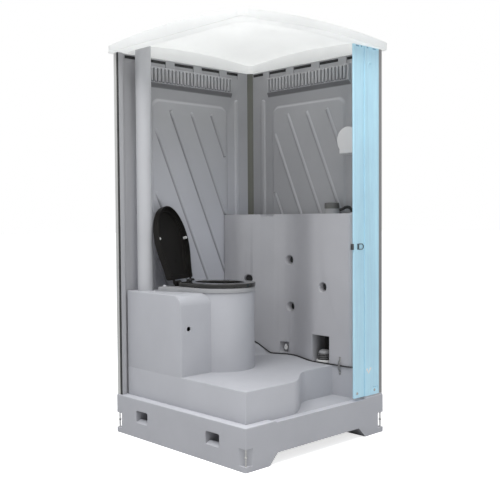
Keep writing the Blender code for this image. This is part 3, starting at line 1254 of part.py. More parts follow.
def post_outline():
    """Section of a corner post in its own quarter, with a groove for a wall on two sides."""
    inner, outer = POST_INNER, POST_OUTER
    groove_low, groove_high = WALL_INNER - GAP, WALL_INNER + WALL_PLATE + GAP
    deep = inner + GROOVE_DEPTH
    tip = inner + POST_CHAMFER
    corner = arc(outer - POST_CORNER, outer - POST_CORNER, POST_CORNER, POST_CORNER, 0, pi / 2, 4)
    return (corner + [(inner, outer), (inner, groove_high), (deep, groove_high), (deep, groove_low),
                      (inner, groove_low), (inner, tip), (tip, inner),
                      (groove_low, inner), (groove_low, deep), (groove_high, deep),
                      (groove_high, inner), (outer, inner)])


def build_posts(look):
    near = POST_INNER + POST_BORE_INSET
    far = near + POST_BORE
    bore = [(near, near), (far, near), (far, far), (near, far)]
    low = BASE_HEIGHT + GAP
    corners = (("post_rear_left", pi / 2, low), ("post_rear_right", 0, low),
               ("post_front_right", -pi / 2, low + JAMB_PAD_HEIGHT))
    for name, turn, bottom in corners:
        plate(name, [post_outline(), bore], bottom, WALL_TOP, look, Matrix.Rotation(turn, 4, "Z"))


def build_jamb(look, keeper_look, bolt_look):
    front, back, wall = -JAMB_FRONT, -JAMB_BACK, JAMB_WALL
    stepped = front + JAMB_STEP
    right = POST_INNER - GAP
    tongue = POST_INNER + GROOVE_DEPTH - GAP
    tongue_front, tongue_back = -WALL_INNER - WALL_PLATE, -WALL_INNER
    edge = JAMB_STEP
    thin_back = stepped + JAMB_EDGE_DEPTH
    lap, lap_back = POST_INNER + JAMB_LAP, -POST_OUTER - GAP
    outer = [(JAMB_LEFT, stepped + edge), (JAMB_LEFT + edge, stepped), (JAMB_STEP_X - edge, stepped),
             (JAMB_STEP_X, front), (lap, front), (lap, lap_back), (right, lap_back),
             (right, tongue_front), (tongue, tongue_front), (tongue, tongue_back), (right, tongue_back),
             (right, back), (JAMB_STEP_X, back), (JAMB_STEP_X, thin_back), (JAMB_LEFT, thin_back)]
    inner = [(JAMB_STEP_X + wall, front + wall), (right - wall, front + wall),
             (right - wall, back - wall), (JAMB_STEP_X + wall, back - wall)]
    low = BASE_HEIGHT + JAMB_PAD_HEIGHT + GAP
    jamb = plate("door_jamb", [outer, inner], low, WALL_TOP, look)
    half = EMBOSS_WIDTH / 2
    groove = (arc(EMBOSS_CENTRE, EMBOSS_TOP - half, half, half, 0, pi, 10)
              + arc(EMBOSS_CENTRE, EMBOSS_LOW + half, half, half, pi, 2 * pi, 10))
    recess = plate("jamb_recess", [groove], JAMB_FRONT - EMBOSS_DEPTH, JAMB_FRONT + OVERRUN,
                   matrix=REAR_FRAME)
    cut(jamb, recess)

    low_z, high_z = KEEPER_LEVEL - KEEPER_HEIGHT / 2, KEEPER_LEVEL + KEEPER_HEIGHT / 2
    face = stepped - GAP
    left = JAMB_LEFT - GAP
    thick = KEEPER_THICKNESS
    behind = thin_back + GAP
    clip = [(KEEPER_REACH, face), (left, face), (left, behind), (KEEPER_BACK_REACH, behind),
            (KEEPER_BACK_REACH, behind + thick), (left - thick, behind + thick),
            (left - thick, face - thick), (KEEPER_REACH, face - thick)]
    keeper = plate("lock_keeper", [clip], low_z, high_z, keeper_look)
    radius = KEEPER_HEIGHT / 2
    middle = KEEPER_REACH - radius
    nose = ([(KEEPER_REACH + OVERRUN, low_z - OVERRUN), (middle, low_z - OVERRUN)]
            + arc(middle, KEEPER_LEVEL, radius, radius, -pi / 2, pi / 2, 10)
            + [(middle, high_z + OVERRUN), (KEEPER_REACH + OVERRUN, high_z + OVERRUN)])
    round_nose = plate("keeper_nose", [nose], -face - thick, -face + 2 * thick, matrix=REAR_FRAME)
    hole_half = KEEPER_HOLE / 2
    hole_left = JAMB_LEFT + KEEPER_HOLE
    hole = (arc(middle, KEEPER_LEVEL, hole_half, hole_half, -pi / 2, pi / 2, 8)
            + [(hole_left, KEEPER_LEVEL + hole_half), (hole_left, KEEPER_LEVEL - hole_half)])
    window = plate("keeper_window", [hole], -face - thick, -face + 2 * thick, matrix=REAR_FRAME)
    cut(keeper, round_nose, window)

    for i, across in enumerate(JAMB_BOLT_SHARES):
        x = JAMB_LEFT + JAMB_WIDTH * across
        face_y = (stepped if x < JAMB_STEP_X else front) - GAP
        level = BASE_HEIGHT + JAMB_BOLT_RISE
        turned("jamb_bolt_%d" % (i + 1), [
            (0, BOLT_HEIGHT), (BOLT_RADIUS / 2, BOLT_HEIGHT), (BOLT_RADIUS, BOLT_HEIGHT / 3),
            (BOLT_RADIUS, 0), (0, 0),
        ], bolt_look, Matrix.Translation((x, face_y, level)) @ Matrix.Rotation(pi / 2, 4, "X"),
            SMALL_STEPS, closed=False)


def dispenser_outline(inset):
    """Front view of the dispenser: round above, with a narrower flat foot; (Y, Z) points."""
    radius = DISPENSER_RADIUS - inset
    foot = DISPENSER_FOOT - inset
    half = DISPENSER_HALF_FOOT - inset
    start = asin(half / radius)
    ring = arc(0, 0, radius, radius, -pi / 2 + start, 3 * pi / 2 - start, 20)
    return [(-half, -foot), (half, -foot)] + ring


def build_dispenser(look, paper_look, metal_look):
    middle = Matrix.Translation((0, DISPENSER_Y, DISPENSER_LEVEL)) @ SIDE_FRAME
    back = WALL_INNER - WALL_PANEL_RISE - GAP
    split = DISPENSER_FRONT_X + DISPENSER_COVER_DEPTH
    case = plate("dispenser_base", [dispenser_outline(0)], split + GAP, back, look, middle)
    stile_edge = -STILE_CENTRE - STILE_WIDTH / 2
    spacer = box("dispenser_spacer", (back - DISPENSER_WALL, stile_edge - 2 * ROLL_CORE,
                                      DISPENSER_LEVEL - ROLL_CORE),
                 (WALL_INNER - GAP, stile_edge - 2 * DISPENSER_WALL, DISPENSER_LEVEL + ROLL_CORE))
    join(case, spacer)
    hollow = plate("dispenser_hollow", [dispenser_outline(DISPENSER_WALL)], split - OVERRUN,
                   back - DISPENSER_WALL, matrix=middle)
    slot_half = DISPENSER_HALF_FOOT - 2 * DISPENSER_WALL
    slot = boxes("paper_slot", [((split - OVERRUN, DISPENSER_Y - slot_half,
                                  DISPENSER_LEVEL - DISPENSER_FOOT - OVERRUN),
                                 (split + DISPENSER_SLOT_WIDTH, DISPENSER_Y + slot_half,
                                  DISPENSER_LEVEL - DISPENSER_RADIUS + 2 * DISPENSER_WALL))])
    cut(case, hollow, slot)
    cylinder("roll_spindle", SPINDLE_RADIUS, (back - DISPENSER_WALL - GAP, DISPENSER_Y, DISPENSER_LEVEL),
             (back - DISPENSER_WALL - ROLL_WIDTH - 2 * DISPENSER_WALL, DISPENSER_Y, DISPENSER_LEVEL),
             metal_look, steps=MIDDLE_STEPS)
    roll_back = back - 2 * DISPENSER_WALL
    turned("paper_roll", [
        (ROLL_CORE, 0), (ROLL_RADIUS, 0), (ROLL_RADIUS, -ROLL_WIDTH), (ROLL_CORE, -ROLL_WIDTH),
    ], paper_look, Matrix.Translation((roll_back, DISPENSER_Y, DISPENSER_LEVEL - ROLL_CORE + SPINDLE_RADIUS
                                       + GAP)) @ Matrix.Rotation(pi / 2, 4, "Y"), ROUND_STEPS)

    foot = DISPENSER_LEVEL - DISPENSER_FOOT
    hinge = empty("cover_hinge", Matrix.Translation((split, DISPENSER_Y, foot)))
    cover = plate("dispenser_cover", [dispenser_outline(0)], DISPENSER_FRONT_X,
                  split + DISPENSER_COVER_DEPTH / 2, look, middle)
    round_edges(cover, DISPENSER_COVER_DEPTH / 3, 2, 60)
    trim = box("cover_plane", (split, DISPENSER_Y - DISPENSER_RADIUS - OVERRUN, foot - OVERRUN),
               (split + DISPENSER_COVER_DEPTH, DISPENSER_Y + DISPENSER_RADIUS + OVERRUN,
                DISPENSER_LEVEL + DISPENSER_RADIUS + OVERRUN))
    cover_hollow = plate("cover_hollow", [dispenser_outline(2 * DISPENSER_WALL)],
                         DISPENSER_FRONT_X + DISPENSER_WALL, split + OVERRUN, matrix=middle)
    cut(cover, trim, cover_hollow)
    hang(cover, hinge)


def roof_height(x, y):
    """Outer surface of the roof: arched along each edge and crowned in the middle."""
    rx, ry = 1 - (x / ROOF_HALF) ** 2, 1 - (y / ROOF_HALF) ** 2
    return ROOF_EDGE_Z + ROOF_ARCH * (rx + ry) + ROOF_CROWN * rx * ry


def domed_block(name, half, low, drop):
    """A block with a flat underside and the roof's curved surface, lowered by drop, on top."""
    bm = bmesh.new()
    bmesh.ops.create_grid(bm, x_segments=ROOF_GRID, y_segments=ROOF_GRID, size=half)
    for vert in bm.verts:
        vert.co.z = roof_height(vert.co.x, vert.co.y) - drop
    rim = [edge for edge in bm.edges if edge.is_boundary]
    grown = bmesh.ops.extrude_edge_only(bm, edges=rim)["geom"]
    for item in grown:
        if isinstance(item, bmesh.types.BMVert):
            item.co.z = low
    bmesh.ops.contextual_create(bm, geom=[edge for edge in bm.edges if edge.is_boundary])
    return add_object(name, mesh_from(bm, name))


def build_roof(look):
    low = WALL_TOP + GAP
    roof = domed_block("roof", ROOF_HALF, low, 0)
    roof.data.materials.append(look)
    trim = plate("roof_plan", [rounded_rectangle(-ROOF_HALF + GAP, -ROOF_HALF + GAP, ROOF_HALF - GAP,
                                                 ROOF_HALF - GAP, ROOF_CORNER, 5)],
                 low - OVERRUN, ROOF_LIMIT)
    combine(roof, trim, "INTERSECT")
    well = domed_block("roof_well", ROOF_WELL_HALF, low - OVERRUN, ROOF_SKIN)
    well_plan = plate("well_plan", [rounded_rectangle(-ROOF_WELL_HALF + GAP, -ROOF_WELL_HALF + GAP,
                                                      ROOF_WELL_HALF - GAP, ROOF_WELL_HALF - GAP,
                                                      ROOF_WELL_CORNER, 5)],
                      low - 2 * OVERRUN, ROOF_LIMIT)
    combine(well, well_plan, "INTERSECT")
    cut(roof, well)
    radius = (HEADER_HALF ** 2 + HEADER_ARCH ** 2) / (2 * HEADER_ARCH)
    reach = asin(HEADER_HALF / radius)
    bow = arc(0, low + HEADER_ARCH - radius, radius, radius, pi / 2 - reach, pi / 2 + reach, 12)
    header = plate("header_arch", [[(HEADER_HALF, low - OVERRUN)] + bow + [(-HEADER_HALF, low - OVERRUN)]],
                   ROOF_WELL_HALF - OVERRUN, ROOF_HALF + OVERRUN, matrix=REAR_FRAME)
    cut(roof, header)
    cut(roof, cylinder("vent_outlet", PIPE_RADIUS + GAP, (PIPE_X, PIPE_Y, low - OVERRUN),
                       (PIPE_X, PIPE_Y, ROOF_LIMIT), steps=ROUND_STEPS))
    smooth(roof)
    return roof


def build():
    clear_scene()
    plastic = material("grey_plastic", GREY, 0.45)
    wall = material("wall_plastic", WALL_GREY, 0.50)
    post = material("post_aluminium", POST_GREY, 0.40, 0.6)
    pale = material("pale_plastic", PALE_GREY, 0.40)
    black = material("black_plastic", BLACK, 0.25)
    rubber = material("black_rubber", RUBBER, 0.60)
    white = material("white_plastic", WHITE, 0.35)
    blue = material("blue_plastic", BLUE, 0.40)
    steel = material("steel", STEEL, 0.30, 1.0)
    paper = material("paper", PAPER, 0.90)
    roof = material("roof_plastic", WHITE, 0.40)

    build_base(plastic)
    build_lashing_pins(steel)
    build_waste_tank(plastic)
    build_deck(pale)
    build_bowl(pale)
    build_flap(black)
    build_seat(black, rubber)
    build_lid(black, white)
    build_hinge_hardware(black, pale)
    build_vent_pipe(pale)
    build_water_tank(plastic)
    build_filler(plastic, black, rubber)
    build_pump(white, rubber, plastic)
    build_drain(steel, white)
    build_hose(rubber, black, steel, steel)
    build_wall("rear_wall", REAR_FRAME, wall, 1)
    build_wall("side_wall", SIDE_FRAME, wall, -1)
    build_posts(post)
    build_jamb(blue, steel, steel)
    build_dispenser(pale, paper, steel)
    build_roof(roof)
    bpy.context.view_layer.update()


build()
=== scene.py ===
"""Looks of the portable flush toilet cabin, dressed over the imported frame."""

from math import asin, atan2, cos, exp, pi, radians, sin, sqrt

import bmesh
import bpy
from mathutils import Matrix, Vector


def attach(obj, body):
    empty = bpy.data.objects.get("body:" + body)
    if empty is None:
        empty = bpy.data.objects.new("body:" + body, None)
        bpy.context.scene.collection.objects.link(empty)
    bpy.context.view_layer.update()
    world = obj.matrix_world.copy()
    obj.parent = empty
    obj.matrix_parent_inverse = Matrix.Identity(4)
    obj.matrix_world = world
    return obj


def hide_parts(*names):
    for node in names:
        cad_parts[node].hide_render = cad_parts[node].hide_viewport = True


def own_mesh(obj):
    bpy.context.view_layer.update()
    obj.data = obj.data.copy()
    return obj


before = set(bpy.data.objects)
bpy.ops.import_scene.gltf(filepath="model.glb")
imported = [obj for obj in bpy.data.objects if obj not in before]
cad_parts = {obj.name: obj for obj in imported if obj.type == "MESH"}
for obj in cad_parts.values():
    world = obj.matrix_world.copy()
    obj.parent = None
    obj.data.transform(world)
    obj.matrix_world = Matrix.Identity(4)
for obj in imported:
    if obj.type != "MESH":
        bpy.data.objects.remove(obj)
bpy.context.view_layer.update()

OVER = 0.02             # how far a cutter runs past what it cuts
TINY = 0.0003           # clearance between pieces that touch

# Main sizes, as in the solids
BASE_HALF, BASE_HEIGHT, TRAY_HALF, TRAY_FLOOR = 0.55, 0.222, 0.5015, 0.19
TANK_HALF, TANK_BOTTOM, TANK_WALL = 0.5012, 0.1903, 0.006
FLOOR_LEVEL, STEP_LEVEL, BENCH_LEVEL = 0.2135, 0.386, 0.828
STEP_LEFT_X, STEP_RUN, STEP_FRONT_Y = -0.17, 0.3, -0.335     # the step's waved front
PEDESTAL_RADIUS = 0.19
BURIED = 0.38          # where the bench, the pedestal and the curb start, inside the step
TOILET_X, TOILET_Y, TOILET_TURN = -0.122, 0.1, radians(22.0)
DECK_LOW, DECK_TOP = 0.8283, 0.8518
HINGE_BACK, HINGE_Z = 0.246, 0.8728
PIPE_X, PIPE_Y, PIPE_RADIUS, PIPE_TOP = -0.42, 0.43, 0.045, 2.24
WATER_NEAR_Y, WATER_FAR_Y, WATER_BACK_X, WATER_FACE_X = -0.485, 0.5012, 0.5015, 0.352
WATER_BOTTOM, WATER_TOP = 0.3863, 1.268
NECK_X, NECK_Y = 0.43, -0.267
POST_INNER, POST_OUTER = 0.502, 0.546
WALL_INNER, WALL_PLATE, WALL_TOP = 0.516, 0.022, 2.1997
BENCH_RIGHT_X, CURB_TOP, CURB_FRONT_Y, CURB_RUN = 0.0501, 0.452, 0.195, 0.075
BAY_END_Y, REAR_START_Y = 0.0821, 0.3996
JAMB_LEFT, JAMB_STEP_X, JAMB_FRONT, JAMB_BACK, PAD_LEFT = 0.2817, 0.3834, 0.5493, 0.512, 0.3834
PUMP_X, PUMP_Y, DRAIN_Y, STRAP_Y = 0.405, -0.2301, 0.1233, -0.392
DISPENSER_Y, DISPENSER_LEVEL = -0.412, 1.689
ROOF_HALF, ROOF_EDGE_Z, ROOF_WELL_HALF = 0.578, 2.232, 0.5
LOUVRE_RISE, SLATS = 0.018, 24
SEAT_GAP, SEAT_THICK, LID_THICK, LID_OPEN = 0.0035, 0.022, 0.042, radians(103.0)
LID_PLAN = (0.02, 0.128, 0.46, 0.17)         # rear, half its width, tip, half the greatest width
HINGE_RADIUS, HINGE_BORE = 0.012, 0.0053
PUMP_BAY = (-0.3091, -0.1751, 0.366, 0.55, 0.116)     # its sides, foot, head and depth
DRAIN_BAY = (DRAIN_Y - 0.029, DRAIN_Y + 0.029, 0.3975, 0.466, 0.042)
POCKET_MIDDLE, FORK_HALF = 0.3025, 0.325
SWELL_START, SWELL_END, SWELL_FACE_X, REAR_SWEEP = -0.205, 0.07, 0.434, 0.172
RIB_COUNT, RIB_DEPTH = 36, 0.0016          # grip ribs of the filler cap


def at(x, y, z):
    return Matrix.Translation((x, y, z))


TOILET = at(TOILET_X, TOILET_Y, 0) @ Matrix.Rotation(TOILET_TURN, 4, "Z")
REAR_FRAME = Matrix.Rotation(pi / 2, 4, "X")
ALONG_X, AGAINST_X = Matrix.Rotation(pi / 2, 4, "Y"), Matrix.Rotation(-pi / 2, 4, "Y")
SIDE_FRAME = Matrix.Rotation(pi / 2, 4, "Z") @ REAR_FRAME


# Mesh helpers

def add(name, data, matrix=None):
    obj = bpy.data.objects.new(name, data)
    bpy.context.scene.collection.objects.link(obj)
    if matrix is not None:
        obj.matrix_world = matrix
    return obj


def mesh_of(bm, name):
    bmesh.ops.recalc_face_normals(bm, faces=bm.faces)
    mesh = bpy.data.meshes.new(name)
    bm.to_mesh(mesh)
    bm.free()
    return mesh


def bake(obj):
    """Applies modifiers or a curve, and moves the mesh to the row frame."""
    bpy.context.view_layer.update()
    made = bpy.data.meshes.new_from_object(obj.evaluated_get(bpy.context.evaluated_depsgraph_get()))
    made.transform(obj.matrix_world)
    bm = bmesh.new()
    bm.from_mesh(made)
    bmesh.ops.remove_doubles(bm, verts=bm.verts, dist=0.00001)
    bmesh.ops.recalc_face_normals(bm, faces=bm.faces)
    bm.to_mesh(made)
    bm.free()
    name = obj.name
    bpy.data.objects.remove(obj, do_unlink=True)
    return add(name, made)


def boxes(name, corners, matrix=None):
    bm = bmesh.new()
    for low, high in corners:
        low, high = Vector(low), Vector(high)
        bmesh.ops.create_cube(bm, size=1, matrix=Matrix.Translation((low + high) / 2)
            @ Matrix.Diagonal((high - low).to_4d()))
    return add(name, mesh_of(bm, name), matrix)


def box(name, low, high, matrix=None):
    return boxes(name, [(low, high)], matrix)


def rod(name, radius, start, end, matrix=None, top=None, steps=48):
    start, end = Vector(start), Vector(end)
    bm = bmesh.new()
    bmesh.ops.create_cone(bm, cap_ends=True, segments=steps, radius1=radius,
        radius2=radius if top is None else top, depth=(end - start).length)
    turn = (end - start).to_track_quat("Z", "Y").to_matrix().to_4x4()
    return add(name, mesh_of(bm, name), (matrix or Matrix()) @ Matrix.Translation((start + end) / 2) @ turn)


def plate(name, outlines, low, high, matrix=None):
    """A flat outline, with any holes, extruded between two levels along its own Z."""
    curve = bpy.data.curves.new(name, "CURVE")
    curve.dimensions = "2D"
    curve.fill_mode = "BOTH"
    curve.extrude = (high - low) / 2
    for outline in outlines:
        spline = curve.splines.new("POLY")
        spline.points.add(len(outline) - 1)
        for point, (x, y) in zip(spline.points, outline):
            point.co = (x, y, 0, 1)
        spline.use_cyclic_u = True
    obj = bake(add(name, curve, (matrix or Matrix()) @ at(0, 0, (low + high) / 2)))
    bm = bmesh.new()
    bm.from_mesh(obj.data)
    bmesh.ops.dissolve_limit(bm, angle_limit=radians(0.5), verts=bm.verts, edges=bm.edges)
    bm.to_mesh(obj.data)
    bm.free()
    return obj


def skin(bm, rings, around, caps=True):
    """Faces between rings of vertices; a ring of one vertex is a pole."""
    for a, b in zip(rings, rings[1:]):
        for i in range(around):
            corners = [a[i % len(a)], a[(i + 1) % len(a)], b[(i + 1) % len(b)], b[i % len(b)]]
            unique = list(dict.fromkeys(corners))
            if len(unique) > 2:
                bm.faces.new(unique)
    if caps:
        bm.faces.new(rings[0])
        bm.faces.new(rings[-1])


def turned(name, profile, matrix=None, steps=64, ribbed=()):
    """A profile of (radius, height) points turned about Z, whose ribbed rings are dented all round.

    A profile that starts on the axis ends there too; any other one is closed on itself.
    """
    bm = bmesh.new()
    rings = []
    for index, (r, z) in enumerate(profile):
        if r < 1e-6:
            rings.append([bm.verts.new((0, 0, z))])
            continue
        ring = []
        for i in range(steps):
            angle = 2 * pi * i / steps
            reach = r - (RIB_DEPTH * max(0.0, cos(RIB_COUNT * angle)) ** 2 if index in ribbed else 0.0)
            ring.append(bm.verts.new((reach * cos(angle), reach * sin(angle), z)))
        rings.append(ring)
    skin(bm, rings + (rings[:1] if profile[0][0] > 0 else []), steps, caps=False)
    return add(name, mesh_of(bm, name), matrix)


def sweep(name, path, section, ups=None):
    """A section of (side, up) points carried along a path of points."""
    bm = bmesh.new()
    count = len(path)
    rings = []
    up = Vector(ups or (0, 0, 1))
    for i, point in enumerate(path):
        ahead = path[min(i + 1, count - 1)] - path[max(i - 1, 0)]
        ahead.normalize()
        if ups is None and abs(ahead.dot(up)) > 0.95:
            up = Vector((0, 1, 0)) if abs(ahead.y) < 0.9 else Vector((1, 0, 0))
        side = ahead.cross(up).normalized()
        rise = side.cross(ahead).normalized()
        if ups is None:
            up = rise
        shape = section(i / (count - 1)) if callable(section) else section
        rings.append([bm.verts.new(point + side * s + rise * t) for s, t in shape])
    skin(bm, rings, len(rings[0]))
    return add(name, mesh_of(bm, name))


def raised(name, outline_at, width, rise, matrix):
    """A form that swells from a wall: outline_at(inset) gives its plan, its sides lean in over width."""
    bm = bmesh.new()
    loops = [(0.0, -0.002)] + [(width * t, rise * ease(t)) for t in spread(0, 1, 6)]
    rings = [[bm.verts.new((x, y, z)) for x, y in outline_at(inset)] for inset, z in loops]
    skin(bm, rings, len(rings[0]))
    return bake(add(name, mesh_of(bm, name), matrix))


def circle(radius, steps=16):
    return [(radius * cos(2 * pi * i / steps), radius * sin(2 * pi * i / steps)) for i in range(steps)]


def combine(target, others, operation):
    for other in others:
        step = target.modifiers.new(other.name, "BOOLEAN")
        step.operation = operation
        step.solver = "EXACT"
        step.object = other
    made = bake(target)
    for other in others:
        bpy.data.objects.remove(other, do_unlink=True)
    return made


def cut(target, *others):
    return combine(target, others, "DIFFERENCE")


def join(target, *others):
    return combine(target, others, "UNION")


def merge(name, *pieces):
    """Several meshes in one object, without a Boolean."""
    bm = bmesh.new()
    for piece in pieces:
        mesh = piece.data.copy()
        mesh.transform(piece.matrix_world)
        bm.from_mesh(mesh)
    for piece in pieces:
        bpy.data.objects.remove(piece, do_unlink=True)
    mesh = bpy.data.meshes.new(name)
    bm.to_mesh(mesh)
    bm.free()
    return add(name, mesh)


def round_edges(obj, width, segments=3, angle=50.0, clamp=True):
    bevel = obj.modifiers.new("edges", "BEVEL")
    bevel.width = width
    bevel.segments = segments
    bevel.limit_method = "ANGLE"
    bevel.angle_limit = radians(angle)
    bevel.use_clamp_overlap = clamp
    bevel.miter_outer = "MITER_ARC"
    return bake(obj)


def finished(obj, look, node=None, body="cabin"):
    """Gives a piece its shading and material, ties it to its CAD body and hides the CAD part of its node."""
    obj = bake(obj)
    obj.data.shade_smooth()
    obj.data.set_sharp_from_angle(angle=radians(32.0))
    obj.data.materials.clear()
    obj.data.materials.append(LOOK[look])
    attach(obj, body)
    if node:
        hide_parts(node)
    return obj


def ease(t):
    return t * t * (3 - 2 * t)


def spread(low, high, count):
    return [low + (high - low) * i / count for i in range(count + 1)]


def arc(centre_x, centre_y, radius_x, radius_y, start, end, steps):
    return [(centre_x + radius_x * cos(start + (end - start) * i / steps),
        centre_y + radius_y * sin(start + (end - start) * i / steps)) for i in range(steps + 1)]


def rounded_rectangle(left, low, right, top, radius, steps=8):
    return (arc(right - radius, low + radius, radius, radius, -pi / 2, 0, steps)
        + arc(right - radius, top - radius, radius, radius, 0, pi / 2, steps)
        + arc(left + radius, top - radius, radius, radius, pi / 2, pi, steps)
        + arc(left + radius, low + radius, radius, radius, pi, 3 * pi / 2, steps))


# Materials

class Nodes:
    """Short calls for building a material's node tree."""

    def __init__(self, name):
        self.material = bpy.data.materials.new(name)
        self.material.use_nodes = True
        self.tree = self.material.node_tree
        self.shader = self.tree.nodes["Principled BSDF"]
        self.place = self.new("ShaderNodeTexCoord").outputs["Object"]

    def new(self, kind, inputs=(), **settings):
        node = self.tree.nodes.new(kind)
        for key, value in settings.items():
            setattr(node, key, value)
        for key, value in dict(inputs).items():
            self.put(node.inputs[key], value)
        return node

    def put(self, socket, value):
        """Links a socket to another node's output, or sets it to a plain value."""
        if hasattr(value, "links"):
            self.tree.links.new(value, socket)
        elif value is not None:
            socket.default_value = value

    def scaled(self, scale):
        return self.new("ShaderNodeMapping", {"Scale": scale, "Vector": self.place}).outputs["Vector"]

    def noise(self, scale, detail=3.0, rough=0.5, vector=None, distortion=0.0):
        return self.new("ShaderNodeTexNoise", {"Scale": scale, "Detail": detail, "Roughness": rough,
            "Distortion": distortion, "Vector": vector or self.place}).outputs["Fac"]

    def span(self, value, low, high, to_low, to_high):
        """Carries a value from one range to another."""
        return self.new("ShaderNodeMapRange", {"From Min": low, "From Max": high, "To Min": to_low,
            "To Max": to_high, "Value": value}, clamp=True).outputs["Result"]

    def blend(self, factor, a, b):
        return self.new("ShaderNodeMix", {0: factor, 6: a, 7: b}, data_type="RGBA").outputs[2]

    def times(self, a, b):
        return self.new("ShaderNodeMath", {0: a, 1: b}, operation="MULTIPLY").outputs[0]

    def plus(self, a, b):
        return self.new("ShaderNodeMath", {0: a, 1: b}, operation="ADD").outputs[0]

    def bump(self, height, strength, distance, normal=None):
        return self.new("ShaderNodeBump", {"Strength": strength, "Distance": distance, "Height": height,
            "Normal": normal}).outputs["Normal"]

    def soft_edges(self, radius):
        return self.new("ShaderNodeBevel", {"Radius": radius}, samples=6).outputs["Normal"]

    def parts(self, vector):
        return self.new("ShaderNodeSeparateXYZ", {0: vector}).outputs

    def set(self, **values):
        for key, value in values.items():
            self.put(self.shader.inputs[key.replace("_", " ")], value)


def tone(colour, share):
    return (*(min(1.0, c * share) for c in colour[:3]), 1.0)


def moulded(name, colour, rough=0.46, edge=0.0035, grain=0.22, mottle=0.05, scuff=0.05, dust_and_painted_top_light=0.0, painted_underside_shade=0.0,
        slope=0.9, painted_low_light=None, painted_hollow_shade=None):
    """Rotomoulded polyethylene: fine grain, soft waviness, faint mottling and a few scuffs.

    Painted light pales what faces up and painted shade darkens what faces down, in full from a slope on.
    Painted low light is two heights and a colour that the surface is painted towards below them; painted
    hollow shade is the two corners of a hollow painted darker inward.
    """
    n = Nodes(name)
    broad = n.noise(2.3, 4, 0.55)
    cloud = n.span(broad, 0.3, 0.7, 0.0, 1.0)
    base = n.blend(cloud, tone(colour, 1 - mottle), tone(colour, 1 + mottle))
    speck = n.span(n.noise(420, 2, 0.6), 0.35, 0.75, 0.0, 1.0)
    base = n.blend(n.times(speck, 0.1), base, tone(colour, 0.8))
    rubbed = n.span(n.noise(9, 6, 0.7, n.scaled((1, 1, 2.6)), 1.5), 0.6, 0.74, 0.0, 1.0)
    base = n.blend(n.times(rubbed, scuff), base, tone(colour, 1.35))
    x, y, z = n.parts(n.place)
    # Painted light: paler towards the bottom, weaker at the left edge
    if painted_low_light:
        low, high, pale = painted_low_light
        painted_light_mask = n.times(n.span(z, low, high, 1.0, 0.0), n.span(x, -0.47, -0.4, 0.15, 1.0))
        base = n.blend(painted_light_mask, base, tone(pale, 1.0))
    # Painted light pales faces that look up and painted shade darkens faces that look down, by the normal's
    # Z
    if dust_and_painted_top_light or painted_underside_shade:
        lean = n.parts(n.new("ShaderNodeNewGeometry").outputs["Normal"])["Z"]
        base = n.blend(n.span(lean, 0.25 * slope, slope, 0.0, dust_and_painted_top_light), base, tone(colour, 1.9))
        base = n.blend(n.span(lean, -0.8 * slope, -0.1 * slope, painted_underside_shade, 0.0), base, tone(colour, 0.2))
    # Painted shade: the hollow is painted darker inward
    if painted_hollow_shade:
        (low_x, low_y), (high_x, high_y, high_z) = painted_hollow_shade
        hollow_shade_mask = n.span(x, low_x, high_x, 0.0, 0.72)
        for part, start, end, inner, outer in ((z, high_z, high_z + 0.002, 1.0, 0.0),
                (y, low_y - 0.004, low_y - 0.002, 0.0, 1.0), (y, high_y + 0.002, high_y + 0.004, 1.0, 0.0)):
            hollow_shade_mask = n.times(hollow_shade_mask, n.span(part, start, end, inner, outer))
        base = n.blend(hollow_shade_mask, base, tone(colour, 0.05))
    n.set(Base_Color=base)
    gloss = n.span(n.noise(14, 5, 0.6), 0.3, 0.7, rough - 0.05, rough + 0.07)
    n.set(Roughness=n.plus(gloss, n.times(rubbed, 0.12)))
    normal = n.bump(n.noise(34, 2, 0.5), 0.1, 0.004, n.soft_edges(edge) if edge else None)
    normal = n.bump(n.noise(900, 4, 0.6), grain, 0.0006, normal)
    n.set(Normal=normal)
    n.set(Specular_IOR_Level=0.35)
    return n.material


def glossy(name, colour, rough, coat, level=0.3):
    """Injection-moulded gloss plastic with fine swirl marks and dulled patches."""
    n = Nodes(name)
    haze = n.span(n.noise(7, 5, 0.6), 0.35, 0.7, 0.0, 1.0)
    n.set(Base_Color=n.blend(haze, tone(colour, 1.0), tone(colour, 1.3)))
    swirl = n.span(n.noise(55, 6, 0.75, n.scaled((1, 6, 1)), 2.0), 0.45, 0.75, 0.0, 0.08)
    n.set(Roughness=n.plus(n.span(haze, 0.0, 1.0, rough - 0.03, rough + 0.07), swirl))
    normal = n.bump(n.noise(24, 2, 0.5), 0.06, 0.003, n.soft_edges(0.0015))
    n.set(Normal=n.bump(n.noise(1300, 3, 0.5), 0.05, 0.0002, normal))
    n.set(Coat_Weight=coat, Coat_Roughness=0.08, Specular_IOR_Level=level)
    return n.material


def rubbery(name, colour, rough=0.62):
    """Moulded rubber, greyed in patches by dust."""
    n = Nodes(name)
    dust_and_painted_top_light = n.span(n.noise(16, 6, 0.7), 0.45, 0.75, 0.0, 1.0)
    n.set(Base_Color=n.blend(n.times(dust_and_painted_top_light, 0.45), tone(colour, 1.0), tone((0.09, 0.09, 0.088), 1.0)))
    n.set(Roughness=n.span(dust_and_painted_top_light, 0, 1, rough - 0.1, rough + 0.12))
    n.set(Normal=n.bump(n.noise(1100, 4, 0.65), 0.25, 0.0003))
    return n.material


